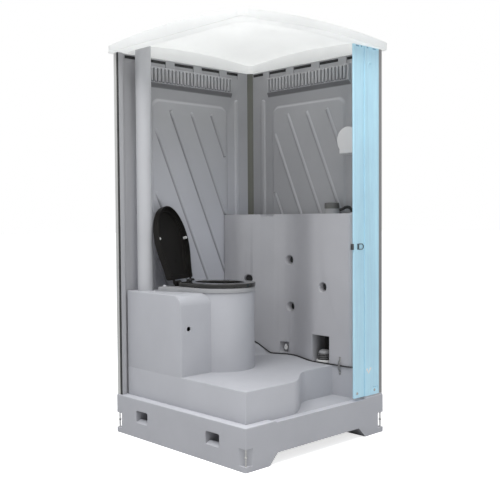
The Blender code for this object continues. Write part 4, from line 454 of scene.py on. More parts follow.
def drawn_metal(name, colour, rough=0.34, metallic=0.75, along=(420, 420, 5), edge=0.0012):
    """Extruded or rolled metal with a fine drawn grain along Z."""
    n = Nodes(name)
    lines = n.noise(1.0, 5, 0.7, n.scaled(along))
    stain = n.span(n.noise(5, 5, 0.6), 0.35, 0.7, 0.0, 1.0)
    base = n.blend(n.span(lines, 0.3, 0.7, 0, 1), tone(colour, 0.88), tone(colour, 1.1))
    n.set(Base_Color=n.blend(n.times(stain, 0.25), base, tone(colour, 0.75)))
    n.set(Roughness=n.span(lines, 0.25, 0.75, rough - 0.07, rough + 0.1), Metallic=metallic)
    normal = n.bump(lines, 0.1, 0.0004, n.soft_edges(edge))
    n.set(Normal=n.bump(n.noise(700, 3, 0.6), 0.05, 0.0002, normal))
    return n.material


def plated(name, colour):
    """Zinc-plated steel with soft spangle."""
    n = Nodes(name)
    cells = n.new("ShaderNodeTexVoronoi", {"Scale": 160, "Vector": n.place})
    spangle = n.span(cells.outputs["Distance"], 0.0, 0.7, 0.0, 1.0)
    n.set(Base_Color=n.blend(spangle, tone(colour, 1.1), tone(colour, 0.8)))
    n.set(Roughness=n.span(n.noise(60, 5, 0.6), 0.3, 0.7, 0.24, 0.44), Metallic=1.0)
    n.set(Normal=n.bump(n.noise(500, 4, 0.6), 0.12, 0.0003, n.soft_edges(0.0008)))
    return n.material


def tissue(name):
    """Soft paper with short fibres."""
    n = Nodes(name)
    fibre = n.noise(260, 6, 0.8, n.scaled((1, 1, 0.4)), 1.0)
    n.set(Base_Color=n.blend(n.span(fibre, 0.3, 0.7, 0, 1), (0.8, 0.79, 0.76, 1), (0.9, 0.89, 0.87, 1)))
    n.set(Roughness=n.span(fibre, 0.3, 0.7, 0.85, 0.98))
    n.set(Normal=n.bump(fibre, 0.5, 0.0008))
    return n.material


def milky(name, colour=(0.86, 0.865, 0.86)):
    """Translucent roof moulding: part of the daylight on it comes through."""
    n = Nodes(name)
    cloud = n.span(n.noise(3.0, 4, 0.5), 0.3, 0.7, 0.0, 1.0)
    base = n.blend(cloud, tone(colour, 0.97), tone(colour, 1.03))
    fleck = n.span(n.noise(380, 3, 0.6), 0.4, 0.7, 0.0, 0.06)
    base = n.blend(fleck, base, tone(colour, 0.85))
    n.set(Base_Color=base)
    n.set(Roughness=n.span(n.noise(22, 4, 0.6), 0.3, 0.7, 0.42, 0.56))
    normal = n.bump(n.noise(30, 2, 0.5), 0.08, 0.004, n.soft_edges(0.004))
    normal = n.bump(n.noise(800, 4, 0.6), 0.15, 0.0005, normal)
    n.set(Normal=normal)
    through = n.new("ShaderNodeBsdfTranslucent", {"Color": base, "Normal": normal})
    both = n.new("ShaderNodeMixShader", {0: 0.56, 1: n.shader.outputs[0], 2: through.outputs[0]})
    n.put(n.tree.nodes["Material Output"].inputs["Surface"], both.outputs[0])
    return n.material


# The walls' settings paint light on what faces up and shade on what faces down
WALL = dict(colour=(0.39, 0.39, 0.402), rough=0.5, grain=0.3, dust_and_painted_top_light=0.3, painted_underside_shade=0.75, slope=0.5)
SMOOTH = dict(rough=0.38, grain=0.12)
COATED = dict(metallic=0.0, along=(260, 260, 3), edge=0.002)

# Each look: its name, its slot in the record, the function that makes it and that function's settings
LOOKS = (
    ("grey_plastic", "grey_plastic", moulded, dict(colour=(0.47, 0.475, 0.504), dust_and_painted_top_light=0.05, painted_underside_shade=0.3)),
    ("base_plastic", "grey_plastic", moulded, dict(colour=(0.42, 0.423, 0.45), dust_and_painted_top_light=0.5, painted_underside_shade=0.6)),
    # The flush-water tank's look paints shade into the pump bay
    ("tank_plastic", "grey_plastic", moulded, dict(
        colour=(0.508, 0.506, 0.528), rough=0.44, dust_and_painted_top_light=0.1, painted_underside_shade=0.3,
        painted_hollow_shade=((0.362, PUMP_BAY[0]), (0.43, PUMP_BAY[1], PUMP_BAY[3])))),
    # The filler neck's look is a darker copy of the tank grey: painted shade
    ("neck_plastic", "grey_plastic", moulded, dict(colour=(0.3, 0.3, 0.305), rough=0.44)),
    ("wall_plastic", "wall_plastic", moulded, WALL),
    # The rear wall is painted lighter towards the bottom: painted light
    ("rear_plastic", "wall_plastic", moulded, dict(WALL, painted_low_light=(1.15, 1.85, (0.585, 0.592, 0.636)))),
    ("pale_plastic", "pale_plastic", moulded, dict(SMOOTH, colour=(0.491, 0.494, 0.512))),
    ("deck_plastic", "pale_plastic", moulded, dict(SMOOTH, colour=(0.367, 0.369, 0.378))),
    ("case_plastic", "pale_plastic", moulded, dict(SMOOTH, colour=(0.69, 0.686, 0.684))),
    ("white_plastic", "white_plastic", moulded, dict(colour=(0.8, 0.8, 0.79), rough=0.34, grain=0.1)),
    ("blue_plastic", "blue_plastic", drawn_metal, dict(COATED, colour=(0.52, 0.81, 1.0), rough=0.4)),
    # The notch clips' look is a darker copy of the jamb blue: painted shade
    ("blue_shade", "blue_plastic", drawn_metal, dict(COATED, colour=(0.23, 0.46, 0.64), rough=0.45)),
    # The three post looks are one metal in a lit, a shaded and a deeply shaded copy: painted light and shade
    ("post_metal", "post_metal", drawn_metal, dict(colour=(0.57, 0.57, 0.555), metallic=0.35)),
    ("post_grey", "post_metal", drawn_metal, dict(colour=(0.27, 0.27, 0.268), metallic=0.35)),
    ("post_dark", "post_metal", drawn_metal, dict(colour=(0.112, 0.114, 0.096), metallic=0.2)),
    ("black_plastic", "black_plastic", glossy, dict(colour=(0.016, 0.015, 0.014), rough=0.3, coat=0.0,
                                                    level=0.04)),
    ("seat_plastic", "black_plastic", glossy, dict(colour=(0.014, 0.013, 0.012), rough=0.14, coat=0.6)),
    ("dark_plastic", "black_plastic", glossy, dict(colour=(0.11, 0.11, 0.105), rough=0.34, coat=0.02)),
    ("black_rubber", "black_rubber", rubbery, dict(colour=(0.014, 0.014, 0.014))),
    ("grey_rubber", "black_rubber", rubbery, dict(colour=(0.105, 0.105, 0.105))),
    ("steel", "steel", plated, dict(colour=(0.46, 0.46, 0.45))),
    ("dark_steel", "steel", plated, dict(colour=(0.11, 0.11, 0.115))),
    ("paper", "paper", tissue, {}),
    ("roof_plastic", "roof_plastic", milky, {}),
)
LOOK = {name: make(name + "_look", **settings) for name, slot, make, settings in LOOKS}


# Camera

def set_camera():
    yaw, pitch, roll = radians(43.64758), radians(2.23526), radians(-0.37876)
    ahead = Vector((sin(yaw) * cos(pitch), cos(yaw) * cos(pitch), -sin(pitch)))
    right = Vector((cos(yaw), -sin(yaw), 0))
    up = right.cross(ahead)
    side = right * cos(roll) + up * sin(roll)
    rise = up * cos(roll) - right * sin(roll)
    data = bpy.data.cameras.new("photo_camera")
    data.lens = 57.18
    data.sensor_width = 36
    obj = add("photo_camera", data)
    rows = Matrix((side, rise, -ahead)).transposed().to_4x4()
    obj.matrix_world = at(-3.16660334, -3.3331663, 1.2393111) @ rows
    bpy.context.scene.camera = obj


def area_light(name, place, target, size, power, colour=(1, 1, 1)):
    data = bpy.data.lights.new(name, "AREA")
    data.shape = "RECTANGLE"
    data.size, data.size_y = size
    data.energy = power
    data.color = colour
    obj = add(name, data)
    aim = (Vector(target) - Vector(place)).to_track_quat("-Z", "Y").to_matrix().to_4x4()
    obj.matrix_world = Matrix.Translation(place) @ aim


def set_stage():
    floor = bpy.data.meshes.new("studio_floor")
    size = 60.0
    floor.from_pydata([(-size, -size, 0), (size, -size, 0), (size, size, 0), (-size, size, 0)], [],
        [(0, 1, 2, 3)])
    ground = add("studio_floor", floor)
    n = Nodes("studio_floor_look")
    n.set(Base_Color=n.blend(n.span(n.noise(0.8, 3, 0.5), 0.3, 0.7, 0, 1), (0.86, 0.86, 0.86, 1),
        (0.88, 0.88, 0.88, 1)))
    n.set(Roughness=0.8)
    path = n.new("ShaderNodeLightPath")
    lit = n.times(path.outputs["Is Camera Ray"], 0.7)
    n.set(Emission_Strength=lit, Emission_Color=(1, 1, 1, 1))
    floor.materials.append(n.material)

    world = bpy.data.worlds.new("studio_world")
    bpy.context.scene.world = world
    world.use_nodes = True
    tree = world.node_tree
    tree.nodes.clear()
    path = tree.nodes.new("ShaderNodeLightPath")
    seen = path.outputs["Is Camera Ray"]
    for kind in ("Is Glossy Ray", "Is Transmission Ray"):
        either = tree.nodes.new("ShaderNodeMath")
        either.operation = "MAXIMUM"
        tree.links.new(seen, either.inputs[0])
        tree.links.new(path.outputs[kind], either.inputs[1])
        seen = either.outputs[0]
    mix = tree.nodes.new("ShaderNodeMixShader")
    tree.links.new(seen, mix.inputs[0])
    for socket, colour, strength in ((1, (0.93, 0.96, 1.0, 1), 0.46), (2, (1, 1, 1, 1), 1.0)):
        light = tree.nodes.new("ShaderNodeBackground")
        light.inputs["Color"].default_value = colour
        light.inputs["Strength"].default_value = strength
        tree.links.new(light.outputs[0], mix.inputs[socket])
    output = tree.nodes.new("ShaderNodeOutputWorld")
    tree.links.new(mix.outputs[0], output.inputs["Surface"])
    area_light("top_light", (-1.0, -0.6, 4.8), (0, 0, 0.8), (3.2, 3.2), 195)
    area_light("left_light", (-4.6, -1.4, 2.4), (0, 0, 1.0), (2.4, 2.4), 9, (1.0, 0.99, 0.97))
    area_light("front_light", (-1.6, -4.6, 2.4), (0, 0, 1.0), (2.4, 2.4), 22, (1.0, 0.99, 0.97))


bpy.context.scene.view_settings.view_transform = "Standard"
set_camera()
set_stage()


# Base

def build_base():
    corner = 0.007
    base = box("base_shell", (-BASE_HALF, -BASE_HALF, -3 * corner), (BASE_HALF, BASE_HALF, BASE_HEIGHT))
    base = round_edges(base, corner, 4)
    edge = BASE_HALF - 0.003
    low, high, end = WALL_INNER - TINY, WALL_INNER + WALL_PLATE + TINY, -0.511
    outline = [(PAD_LEFT, -edge), (edge - 0.006, -edge), (edge, -edge + 0.006), (edge, -TRAY_HALF),
        (high, -TRAY_HALF), (high, end), (low, end), (low, -TRAY_HALF), (PAD_LEFT, -TRAY_HALF)]
    pad = plate("pad", [outline], BASE_HEIGHT - 0.006, BASE_HEIGHT + 0.008)
    base = join(base, pad)
    reach = BASE_HALF + OVER
    tray = box("tray", (-TRAY_HALF, -TRAY_HALF, TRAY_FLOOR), (TRAY_HALF, TRAY_HALF, BASE_HEIGHT + OVER))
    sill = plate("sill", [[(-0.35, BASE_HEIGHT + OVER), (-0.35, BASE_HEIGHT),
        (-0.328, BASE_HEIGHT - 0.009), (PAD_LEFT - TINY, BASE_HEIGHT - 0.009),
        (PAD_LEFT - TINY, BASE_HEIGHT + OVER)]], TRAY_HALF - OVER, reach, REAR_FRAME)
    foot = box("foot_plane", (-reach, -reach, -0.1), (reach, reach, 0))
    fork_foot, fork_top = 0.385, 0.058
    fork = plate("fork", [[(-fork_foot, 0), (-fork_foot, -OVER), (fork_foot, -OVER), (fork_foot, 0),
        (FORK_HALF, fork_top), (-FORK_HALF, fork_top)]], -reach, reach, REAR_FRAME)
    pockets = []
    pocket_half, pocket_low, pocket_high = 0.0525, 0.086, 0.156
    for side in (-1, 1):
        middle = side * POCKET_MIDDLE
        pockets.append(plate("pocket", [rounded_rectangle(middle - pocket_half, pocket_low,
            middle + pocket_half, pocket_high, 0.01, 4)], -reach, reach, SIDE_FRAME))
    base = cut(base, tray, sill, foot, fork, *pockets)
    near, far = POCKET_MIDDLE - pocket_half, POCKET_MIDDLE + pocket_half
    rows = ((-BASE_HALF, -far), (-near, 0), (0, near), (far, BASE_HALF))
    column, rib, cell_low, cell_high = 2 * FORK_HALF / 3, 0.012, 0.046, 0.182
    cells = []
    for low_y, high_y in rows:
        for i in range(3):
            low_x = -FORK_HALF + i * column
            cells.append(((low_x + rib, low_y + rib, cell_low),
                (low_x + column - rib, high_y - rib, cell_high)))
    base = cut(base, boxes("cells", cells))
    back = BASE_HALF - 0.05 - OVER
    notches = [round_edges(plate("notch", [[(back, reach), (reach, back), (reach, reach)]], 0.028, 0.116,
        Matrix.Rotation(quarter * pi / 2, 4, "Z")), 0.002, 2, 30) for quarter in range(4)]
    base = cut(base, *notches)
    lips = []
    for side in (-1, 1):
        for end in (-1, 1):
            face = end * BASE_HALF
            middle, half = -side * POCKET_MIDDLE, 0.051
            lip = [(face, 0.0845), (face - end * 0.002, 0.0885), (face - end * 0.026, 0.104),
                (face - end * 0.032, 0.104), (face - end * 0.032, 0.0845)]
            lips.append(plate("pocket_lip", [lip], middle - half, middle + half, REAR_FRAME))
    base = merge("base_shell", base, *lips)
    finished(base, "base_plastic", "base_skid")
    for sx, sy, name in ((-1, -1, "front_left"), (1, -1, "front_right"), (-1, 1, "rear_left"),
            (1, 1, "rear_right")):
        low, high, middle = 0.0283, 0.1157, 0.072
        profile = [(0, high), (0.0065, high), (0.0045, high - 0.004), (0.004, high - 0.008)]
        profile += [(0.004 + 0.004 * cos(s * pi / 2) ** 2, middle + 0.009 * s) for s in spread(1, -1, 12)]
        profile += [(0.004, low + 0.008), (0.0045, low + 0.004), (0.0065, low), (0, low)]
        pin = turned("lashing_bar_" + name, profile, at(sx * 0.537, sy * 0.537, 0), 32)
        finished(pin, "steel", "lashing_pin_" + name)


# Waste tank

def step_outline(inset):
    half = TANK_HALF - inset
    curve = [(STEP_LEFT_X + STEP_RUN * t - inset, -half + (STEP_FRONT_Y + inset + half) * ease(t))
        for t in spread(0, 1, 32)]
    right = WATER_FACE_X + inset
    return ([(-half, half), (-half, -half)] + curve + [(right, STEP_FRONT_Y + inset), (right, -half),
        (half, -half), (half, half)])


def bench_profile(inset):
    radius = 0.062 - inset
    front, top = 0.005 + inset, BENCH_LEVEL - inset
    return ([(front, BURIED - inset), (TANK_HALF - inset, BURIED - inset), (TANK_HALF - inset, top)]
        + arc(front + radius, top - radius, radius, radius, pi / 2, pi, 16))


def tank_form(name, inset, low, fillet=0.0):
    body = plate(name, [step_outline(inset)], low, STEP_LEVEL - inset)
    if fillet:
        body = round_edges(body, fillet, 4, 60)
    bench = plate(name + "_bench", [bench_profile(inset)], -TANK_HALF + inset, BENCH_RIGHT_X - inset,
        SIDE_FRAME)
    if fillet:
        bench = round_edges(bench, fillet, 3, 60)
    pedestal = rod(name + "_pedestal", PEDESTAL_RADIUS - inset, (TOILET_X, TOILET_Y, BURIED - inset),
        (TOILET_X, TOILET_Y, BENCH_LEVEL - inset), steps=96)
    if fillet:
        pedestal = round_edges(pedestal, fillet, 3, 60)
    return join(body, bench, pedestal)


def water_face(y):
    """Where the front of the flush-water tank stands, along its length."""
    if y < SWELL_START:
        return WATER_FACE_X
    if y < SWELL_END:
        return WATER_FACE_X + 0.082 * ease((y - SWELL_START) / (SWELL_END - SWELL_START))
    if y < BAY_END_Y:
        return SWELL_FACE_X
    return SWELL_FACE_X - REAR_SWEEP * ease(min(1, (y - BAY_END_Y) / (REAR_START_Y - BAY_END_Y)))


def build_waste_tank():
    tank = tank_form("waste_tank_skin", 0, TANK_BOTTOM, 0.005)
    floor = box("entry_floor", (-TANK_HALF, -TANK_HALF, TANK_BOTTOM), (TANK_HALF, TANK_HALF, FLOOR_LEVEL))
    curb_left, curb_start, above = BENCH_RIGHT_X - 0.006, CURB_FRONT_Y - 0.02, CURB_TOP + 0.02
    curb = plate("curb", [[(curb_left, TANK_HALF), (curb_left, CURB_FRONT_Y)]
        + [(water_face(y) - 0.0025, y) for y in spread(CURB_FRONT_Y, TANK_HALF, 28)]], BURIED, CURB_TOP)
    slope = plate("slope", [[(curb_start, STEP_LEVEL), (CURB_FRONT_Y, STEP_LEVEL)]
        + [(CURB_FRONT_Y + CURB_RUN * t, STEP_LEVEL + (CURB_TOP - STEP_LEVEL) * ease(t))
        for t in spread(0, 1, 12)[1:]] + [(CURB_FRONT_Y + CURB_RUN, above), (curb_start, above)]], 0,
        TANK_HALF + OVER, SIDE_FRAME)
    curb = cut(curb, slope)
    tank = join(tank, floor, curb)
    hollow = tank_form("hollow", TANK_WALL, TANK_BOTTOM + TANK_WALL)
    low, high = BENCH_LEVEL - 0.012, BENCH_LEVEL + 0.02
    mouth = rod("mouth", 0.152, (TOILET_X, TOILET_Y, low), (TOILET_X, TOILET_Y, high), steps=96)
    pipe = rod("pipe", PIPE_RADIUS + TINY, (PIPE_X, PIPE_Y, low), (PIPE_X, PIPE_Y, high), steps=64)
    bung = rod("bung", 0.013, (-0.446, -0.015, 0.644), (-0.446, 0.017, 0.644), steps=32)
    tank = cut(tank, hollow, mouth, pipe, bung)
    finished(tank, "grey_plastic", "waste_tank")


# Toilet

def build_deck():
    radius, half_rear, rear_y, rounding = 0.196, 0.172, 0.325, 0.01
    corner = atan2(rear_y, half_rear)
    reach = sqrt(rear_y ** 2 + half_rear ** 2)
    side = corner - asin(sqrt(1 - (radius / reach) ** 2))
    outline = arc(0, 0, radius, radius, pi - side, 2 * pi + side, 72)
    corner_x, corner_y = half_rear - rounding, rear_y - rounding
    rear = (arc(corner_x, corner_y, rounding, rounding, 0, pi / 2, 6)
        + arc(-corner_x, corner_y, rounding, rounding, pi / 2, pi, 6))
    hole = arc(0, 0, 0.118, 0.15, 0, 2 * pi, 72)[:-1]
    deck = plate("deck_skin", [outline + rear, hole], DECK_LOW, DECK_TOP, TOILET)
    deck = round_edges(deck, 0.005, 4, 60)
    seat = rod("recess", 0.1663, (0, 0, DECK_LOW - OVER), (0, 0, DECK_LOW + 0.0053), TOILET, steps=96)
    deck = cut(deck, seat)
    finished(deck, "deck_plastic", "bowl_deck")

    bowl = turned("bowl_skin", [(0.14, DECK_LOW + 0.005), (0.166, DECK_LOW + 0.005), (0.166, DECK_LOW),
        (0.1455, DECK_LOW - 0.0005), (0.142, 0.819), (0.118, 0.752), (0.095, 0.69), (0.078, 0.65),
        (0.066, 0.622), (0.057, 0.604), (0.055, 0.596), (0.051, 0.596), (0.053, 0.604), (0.062, 0.622),
        (0.074, 0.65), (0.091, 0.69), (0.114, 0.752), (0.137, 0.815)], TOILET, 96)
    axle = 0.589
    ears = []
    for side in (-1, 1):
        xs = sorted((side * 0.034, side * 0.026))
        ears.append(box("ear", (xs[0], 0.052, 0.6), (xs[1], 0.077, 0.617), TOILET))
        ears.append(box("leg", (xs[0], 0.063, 0.582), (xs[1], 0.077, 0.612), TOILET))
    bowl = merge("bowl_skin", bowl, *ears)
    finished(bowl, "pale_plastic", "toilet_bowl")
    pin = rod("flap_axle", 0.003, (-0.034, 0.07, axle), (0.034, 0.07, axle), TOILET, steps=24)
    finished(pin, "pale_plastic", "flap_pin")
    flap = turned("flap_skin", [(0, 0.5957), (0.0515, 0.5957), (0.055, 0.5935), (0.055, 0.5917),
        (0, 0.5917)], TOILET, 64)
    arm = box("arm", (-0.0254, 0.0, 0.5917), (0.0254, 0.07, 0.5951), TOILET)
    knuckle = rod("knuckle", 0.0064, (-0.0254, 0.07, axle), (0.0254, 0.07, axle), TOILET, steps=32)
    finished(merge("flap_skin", flap, arm, knuckle), "black_plastic", "bowl_flap", "flap")


def oval(rear, half_rear, tip, half_width, inset=0, steps=48):
    rear, tip = rear + inset, tip - inset
    half_rear, half_width = half_rear - inset, half_width - inset
    waist = rear + (tip - rear) * 0.5
    front = arc(0, -waist, half_width, tip - waist, -pi, 0, steps)
    right = [(half_width - (half_width - half_rear) * ease(t), -waist + (waist - rear) * t)
        for t in spread(0, 1, 16)[1:]]
    return front + right + [(-x, y) for x, y in reversed(right)]


def lugs(inner, width, low, high, reach, matrix):
    """A pair of hinge lugs, each a block with a round end on the hinge line."""
    pair = []
    for side in (-1, 1):
        xs = sorted((side * inner, side * (inner + width)))
        pair.append(box("lug", (xs[0], -reach, low), (xs[1], 0, high), matrix))
        pair.append(rod("lug", HINGE_RADIUS, (xs[0], 0, 0), (xs[1], 0, 0), matrix))
    return pair


def build_seat():
    closed = TOILET @ at(0, HINGE_BACK, HINGE_Z)
    low = DECK_TOP + SEAT_GAP - HINGE_Z
    high = low + SEAT_THICK
    hole = arc(0, -0.235, 0.106, 0.15, 0, 2 * pi, 96)[:-1]
    seat = plate("seat_skin", [oval(0.03, 0.12, 0.448, 0.178), hole], low, high, closed)
    seat = round_edges(seat, 0.009, 6, 60)
    seat = join(seat, *lugs(0.05, 0.02, low + 0.007, high - 0.007, 0.046, closed))
    seat = cut(seat, rod("bore", HINGE_BORE, (-0.1, 0, 0), (0.1, 0, 0), closed, steps=32))
    finished(seat, "seat_plastic", "seat_ring", "seat")
    for i, (x, y) in enumerate(((-0.145, -0.15), (0.145, -0.15), (-0.1, -0.375), (0.1, -0.375))):
        pad = turned("seat_foot_%d" % (i + 1), [(0, low - 0.0032), (0.0065, low - 0.0032),
            (0.008, low - 0.0018), (0.008, low - TINY), (0, low - TINY)], closed @ at(x, y, 0), 32)
        finished(pad, "black_rubber", "seat_bumper_%d" % (i + 1), "seat")


def build_lid():
    closed = TOILET @ at(0, HINGE_BACK, HINGE_Z)
    turn = closed @ Matrix.Rotation(-LID_OPEN, 4, "X")
    low = DECK_TOP + SEAT_GAP + SEAT_THICK + 0.0015 - HINGE_Z
    high = low + LID_THICK
    lid = plate("lid_skin", [oval(*LID_PLAN)], low - 0.03, high, turn)
    lid = round_edges(lid, 0.014, 8, 60)
    lid = cut(lid, box("plane", (-0.5, -0.5, low - 0.045), (0.5, 0.02, low), turn))
    lid = join(lid, *lugs(0.09, 0.02, low + 0.001, 0.011, 0.022, turn))
    wide = plate("wide", [oval(*LID_PLAN, 0.004)], low - OVER, low + 0.022, turn)
    deep = plate("deep", [oval(*LID_PLAN, 0.026)], low, high - 0.004, turn)
    deep = round_edges(deep, 0.008, 4, 60)
    lid = cut(lid, wide, deep, rod("bore", HINGE_BORE, (-0.2, 0, 0), (0.2, 0, 0), turn, steps=32))
    finished(lid, "black_plastic", "toilet_lid", "lid")
    rear, half_rear, tip, half_width = LID_PLAN
    along = (rear + tip) / 2 + 0.026
    across = half_width - 0.015
    for side, name in ((-1, "left"), (1, "right")):
        pad = turned("lid_stop_" + name, [(0, low + TINY), (0.006, low + TINY), (0.008, low + 0.002),
            (0.008, low + 0.0217), (0, low + 0.0217)], turn @ at(side * across, -along, 0), 32)
        finished(pad, "white_plastic", "lid_bumper_" + name, "lid")


def build_hinges():
    place = TOILET @ at(0, HINGE_BACK, HINGE_Z)
    for side, name in ((-1, "left"), (1, "right")):
        xs = sorted((side * 0.0706, side * 0.0894))
        block = box("block_" + name, (xs[0], -HINGE_RADIUS, -0.0207), (xs[1], HINGE_RADIUS, 0), place)
        block = join(block, rod("crown", HINGE_RADIUS, (xs[0], 0, 0), (xs[1], 0, 0), place))
        block = cut(block, rod("bore", HINGE_BORE, (xs[0] - OVER, 0, 0), (xs[1] + OVER, 0, 0), place,
            steps=32))
        finished(block, "black_plastic", "hinge_bracket_" + name)
        ends = sorted((side * 0.05, side * 0.11))
        pin = turned("axle_" + name, [(0, ends[0]), (0.004, ends[0]), (0.005, ends[0] + 0.001),
            (0.005, ends[1] - 0.001), (0.004, ends[1]), (0, ends[1])], place @ ALONG_X, 32)
        finished(pin, "black_plastic", "hinge_pin_" + name)
        cap = turned("deck_cap_" + name, [(0, 0.011), (0.004, 0.0108), (0.008, 0.0092), (0.011, 0.006),
            (0.012, 0.003), (0.012, 0), (0, 0)], TOILET @ at(side * 0.148, 0.292, DECK_TOP + TINY), 40)
        finished(cap, "pale_plastic", "deck_bolt_cap_" + name)


def build_pipe():
    pipe = turned("pipe_skin", [(0.042, PIPE_TOP), (0.0445, PIPE_TOP), (PIPE_RADIUS, PIPE_TOP - 0.0008),
        (PIPE_RADIUS, 0.808), (0.042, 0.808)], at(PIPE_X, PIPE_Y, 0), 72)
    finished(pipe, "pale_plastic", "vent_pipe")


# Water tank

DIMPLES = ((0.3119, 0.859), (0.0842, 0.9826), (-0.2592, 0.836), (0.0753, 0.6905))


def water_outline(inset):
    near, far = WATER_NEAR_Y + inset, WATER_FAR_Y - inset
    back, radius = WATER_BACK_X - inset, 0.042 - inset
    corner = arc(WATER_FACE_X + inset + radius, near + radius, radius, radius, -pi / 2, -pi, 12)
    ys = spread(SWELL_START, SWELL_END, 28) + spread(BAY_END_Y, REAR_START_Y, 28) + [far]
    return [(back, far), (back, near)] + corner + [(water_face(y) + inset, y) for y in ys]


def bay(low_y, high_y, low, high, depth, grow=0.0):
    face = water_face((low_y + high_y) / 2)
    return ((0.24, low_y - grow, low - grow), (face + depth + grow, high_y + grow, high + grow))


def into_face(y, level):
    """A frame on the waved face whose Z points square into the tank."""
    slope = (water_face(y + 0.012) - water_face(y - 0.012)) / 0.024
    turn = Vector((1, -slope, 0)).normalized().to_track_quat("Z", "Y").to_matrix().to_4x4()
    return at(water_face(y), y, level) @ turn


def dimple(y, level, grow=0.0):
    """A round kiss-off dimple with a rounded lip."""
    radius, lip, depth = 0.0275 + grow, 0.0055, 0.046 + grow
    profile = [(0, -OVER), (radius + lip, -OVER), (radius + lip, 0)]
    profile += [(radius + lip - lip * sin(a), lip - lip * cos(a)) for a in spread(0, pi / 2, 5)][1:]
    profile += [(radius * 0.86, depth - 0.004), (radius * 0.74, depth), (0, depth)]
    return turned("dimple", profile, into_face(y, level), 48)


def build_water_tank():
    tank = plate("water_tank_skin", [water_outline(0)], WATER_BOTTOM, WATER_TOP)
    tank = round_edges(tank, 0.009, 5, 60)
    hollow = plate("hollow", [water_outline(0.006)], WATER_BOTTOM + 0.006, WATER_TOP - 0.006)
    bays = (PUMP_BAY, DRAIN_BAY, (0.184, 0.246, 1.254, 1.288, 0.03))
    keep = [boxes("keep", [bay(*one, 0.006)]) for one in bays]
    hollow = cut(hollow, *keep, *[dimple(y, z, 0.006) for y, z in DIMPLES])
    mouths = boxes("mouths", [bay(*one) for one in bays])
    mouths = round_edges(mouths, 0.003, 2)
    neck = rod("neck", 0.038, (NECK_X, NECK_Y, 1.25), (NECK_X, NECK_Y, 1.29), steps=64)
    tank = cut(tank, hollow, mouths, neck, *[dimple(y, z) for y, z in DIMPLES])
    finished(tank, "tank_plastic", "fresh_water_tank")
    # Black discs at the bottoms of the dimples: painted shade
    dimple_shade_disc = [(0, 0.0455), (0.0195, 0.0455), (0.02, 0.03), (0.019, 0.029), (0.012, 0.0285),
        (0.0035, 0.0285), (0.003, 0.03), (0, 0.03)]
    dimple_shade_discs = [turned("dimple_shade_disc", dimple_shade_disc, into_face(y, level), 40) for y, level in DIMPLES]
    finished(merge("kiss_off_painted_shade", *dimple_shade_discs), "black_rubber")
    # A black sheet at the back of the pump bay: painted shade
    low_y, high_y, low, high, depth = bays[0]
    back = water_face((low_y + high_y) / 2) + depth - TINY
    bay_shade_sheet = round_edges(boxes("bay_painted_shade", [((back - 0.003, low_y + 0.004, low + 0.026),
        (back, high_y - 0.004, high - 0.004))]), 0.001, 2)
    finished(bay_shade_sheet, "black_rubber")


def build_filler():
    low = WATER_TOP + TINY
    top, lip = low + 0.038, low + 0.0285
    neck = turned("neck_skin", [(0.038, top), (0.041, top), (0.041, lip), (0.0445, lip),
        (0.046, lip - 0.002), (0.047, low + 0.008), (0.049, low + 0.004), (0.049, low), (0.038, low)],
        at(NECK_X, NECK_Y, 0), 72)
    # The neck is given the darker grey: painted shade
    finished(neck, "neck_plastic", "filler_neck")
    cap_low = lip + 0.0006
    cap_top = cap_low + 0.036
    cap = turned("cap_skin", [(0, cap_top), (0.036, cap_top), (0.04, cap_top - 0.0006),
        (0.0425, cap_top - 0.0025), (0.0437, cap_top - 0.005), (0.0445, cap_low + 0.004), (0.0445, cap_low),
        (0.0416, cap_low), (0.0416, top + 0.0006), (0, top + 0.0006)], at(NECK_X, NECK_Y, 0), 144,
        ribbed=(4, 5))
    finished(cap, "dark_plastic", "filler_cap", "filler")


# Walls and posts

def bell(name, half, rise, out, path):
    """A soft ridge with creased feet along points on a wall; out is the way it stands up."""
    def section(along):
        swell = rise * min(1.0, 8 * along, 8 * (1 - along)) ** 0.5
        return [(s * half, swell * cos(s * pi / 2) ** 0.8 - 0.0006) for s in spread(-0.999, 0.999, 14)]
    return sweep(name, path, section, ups=out)


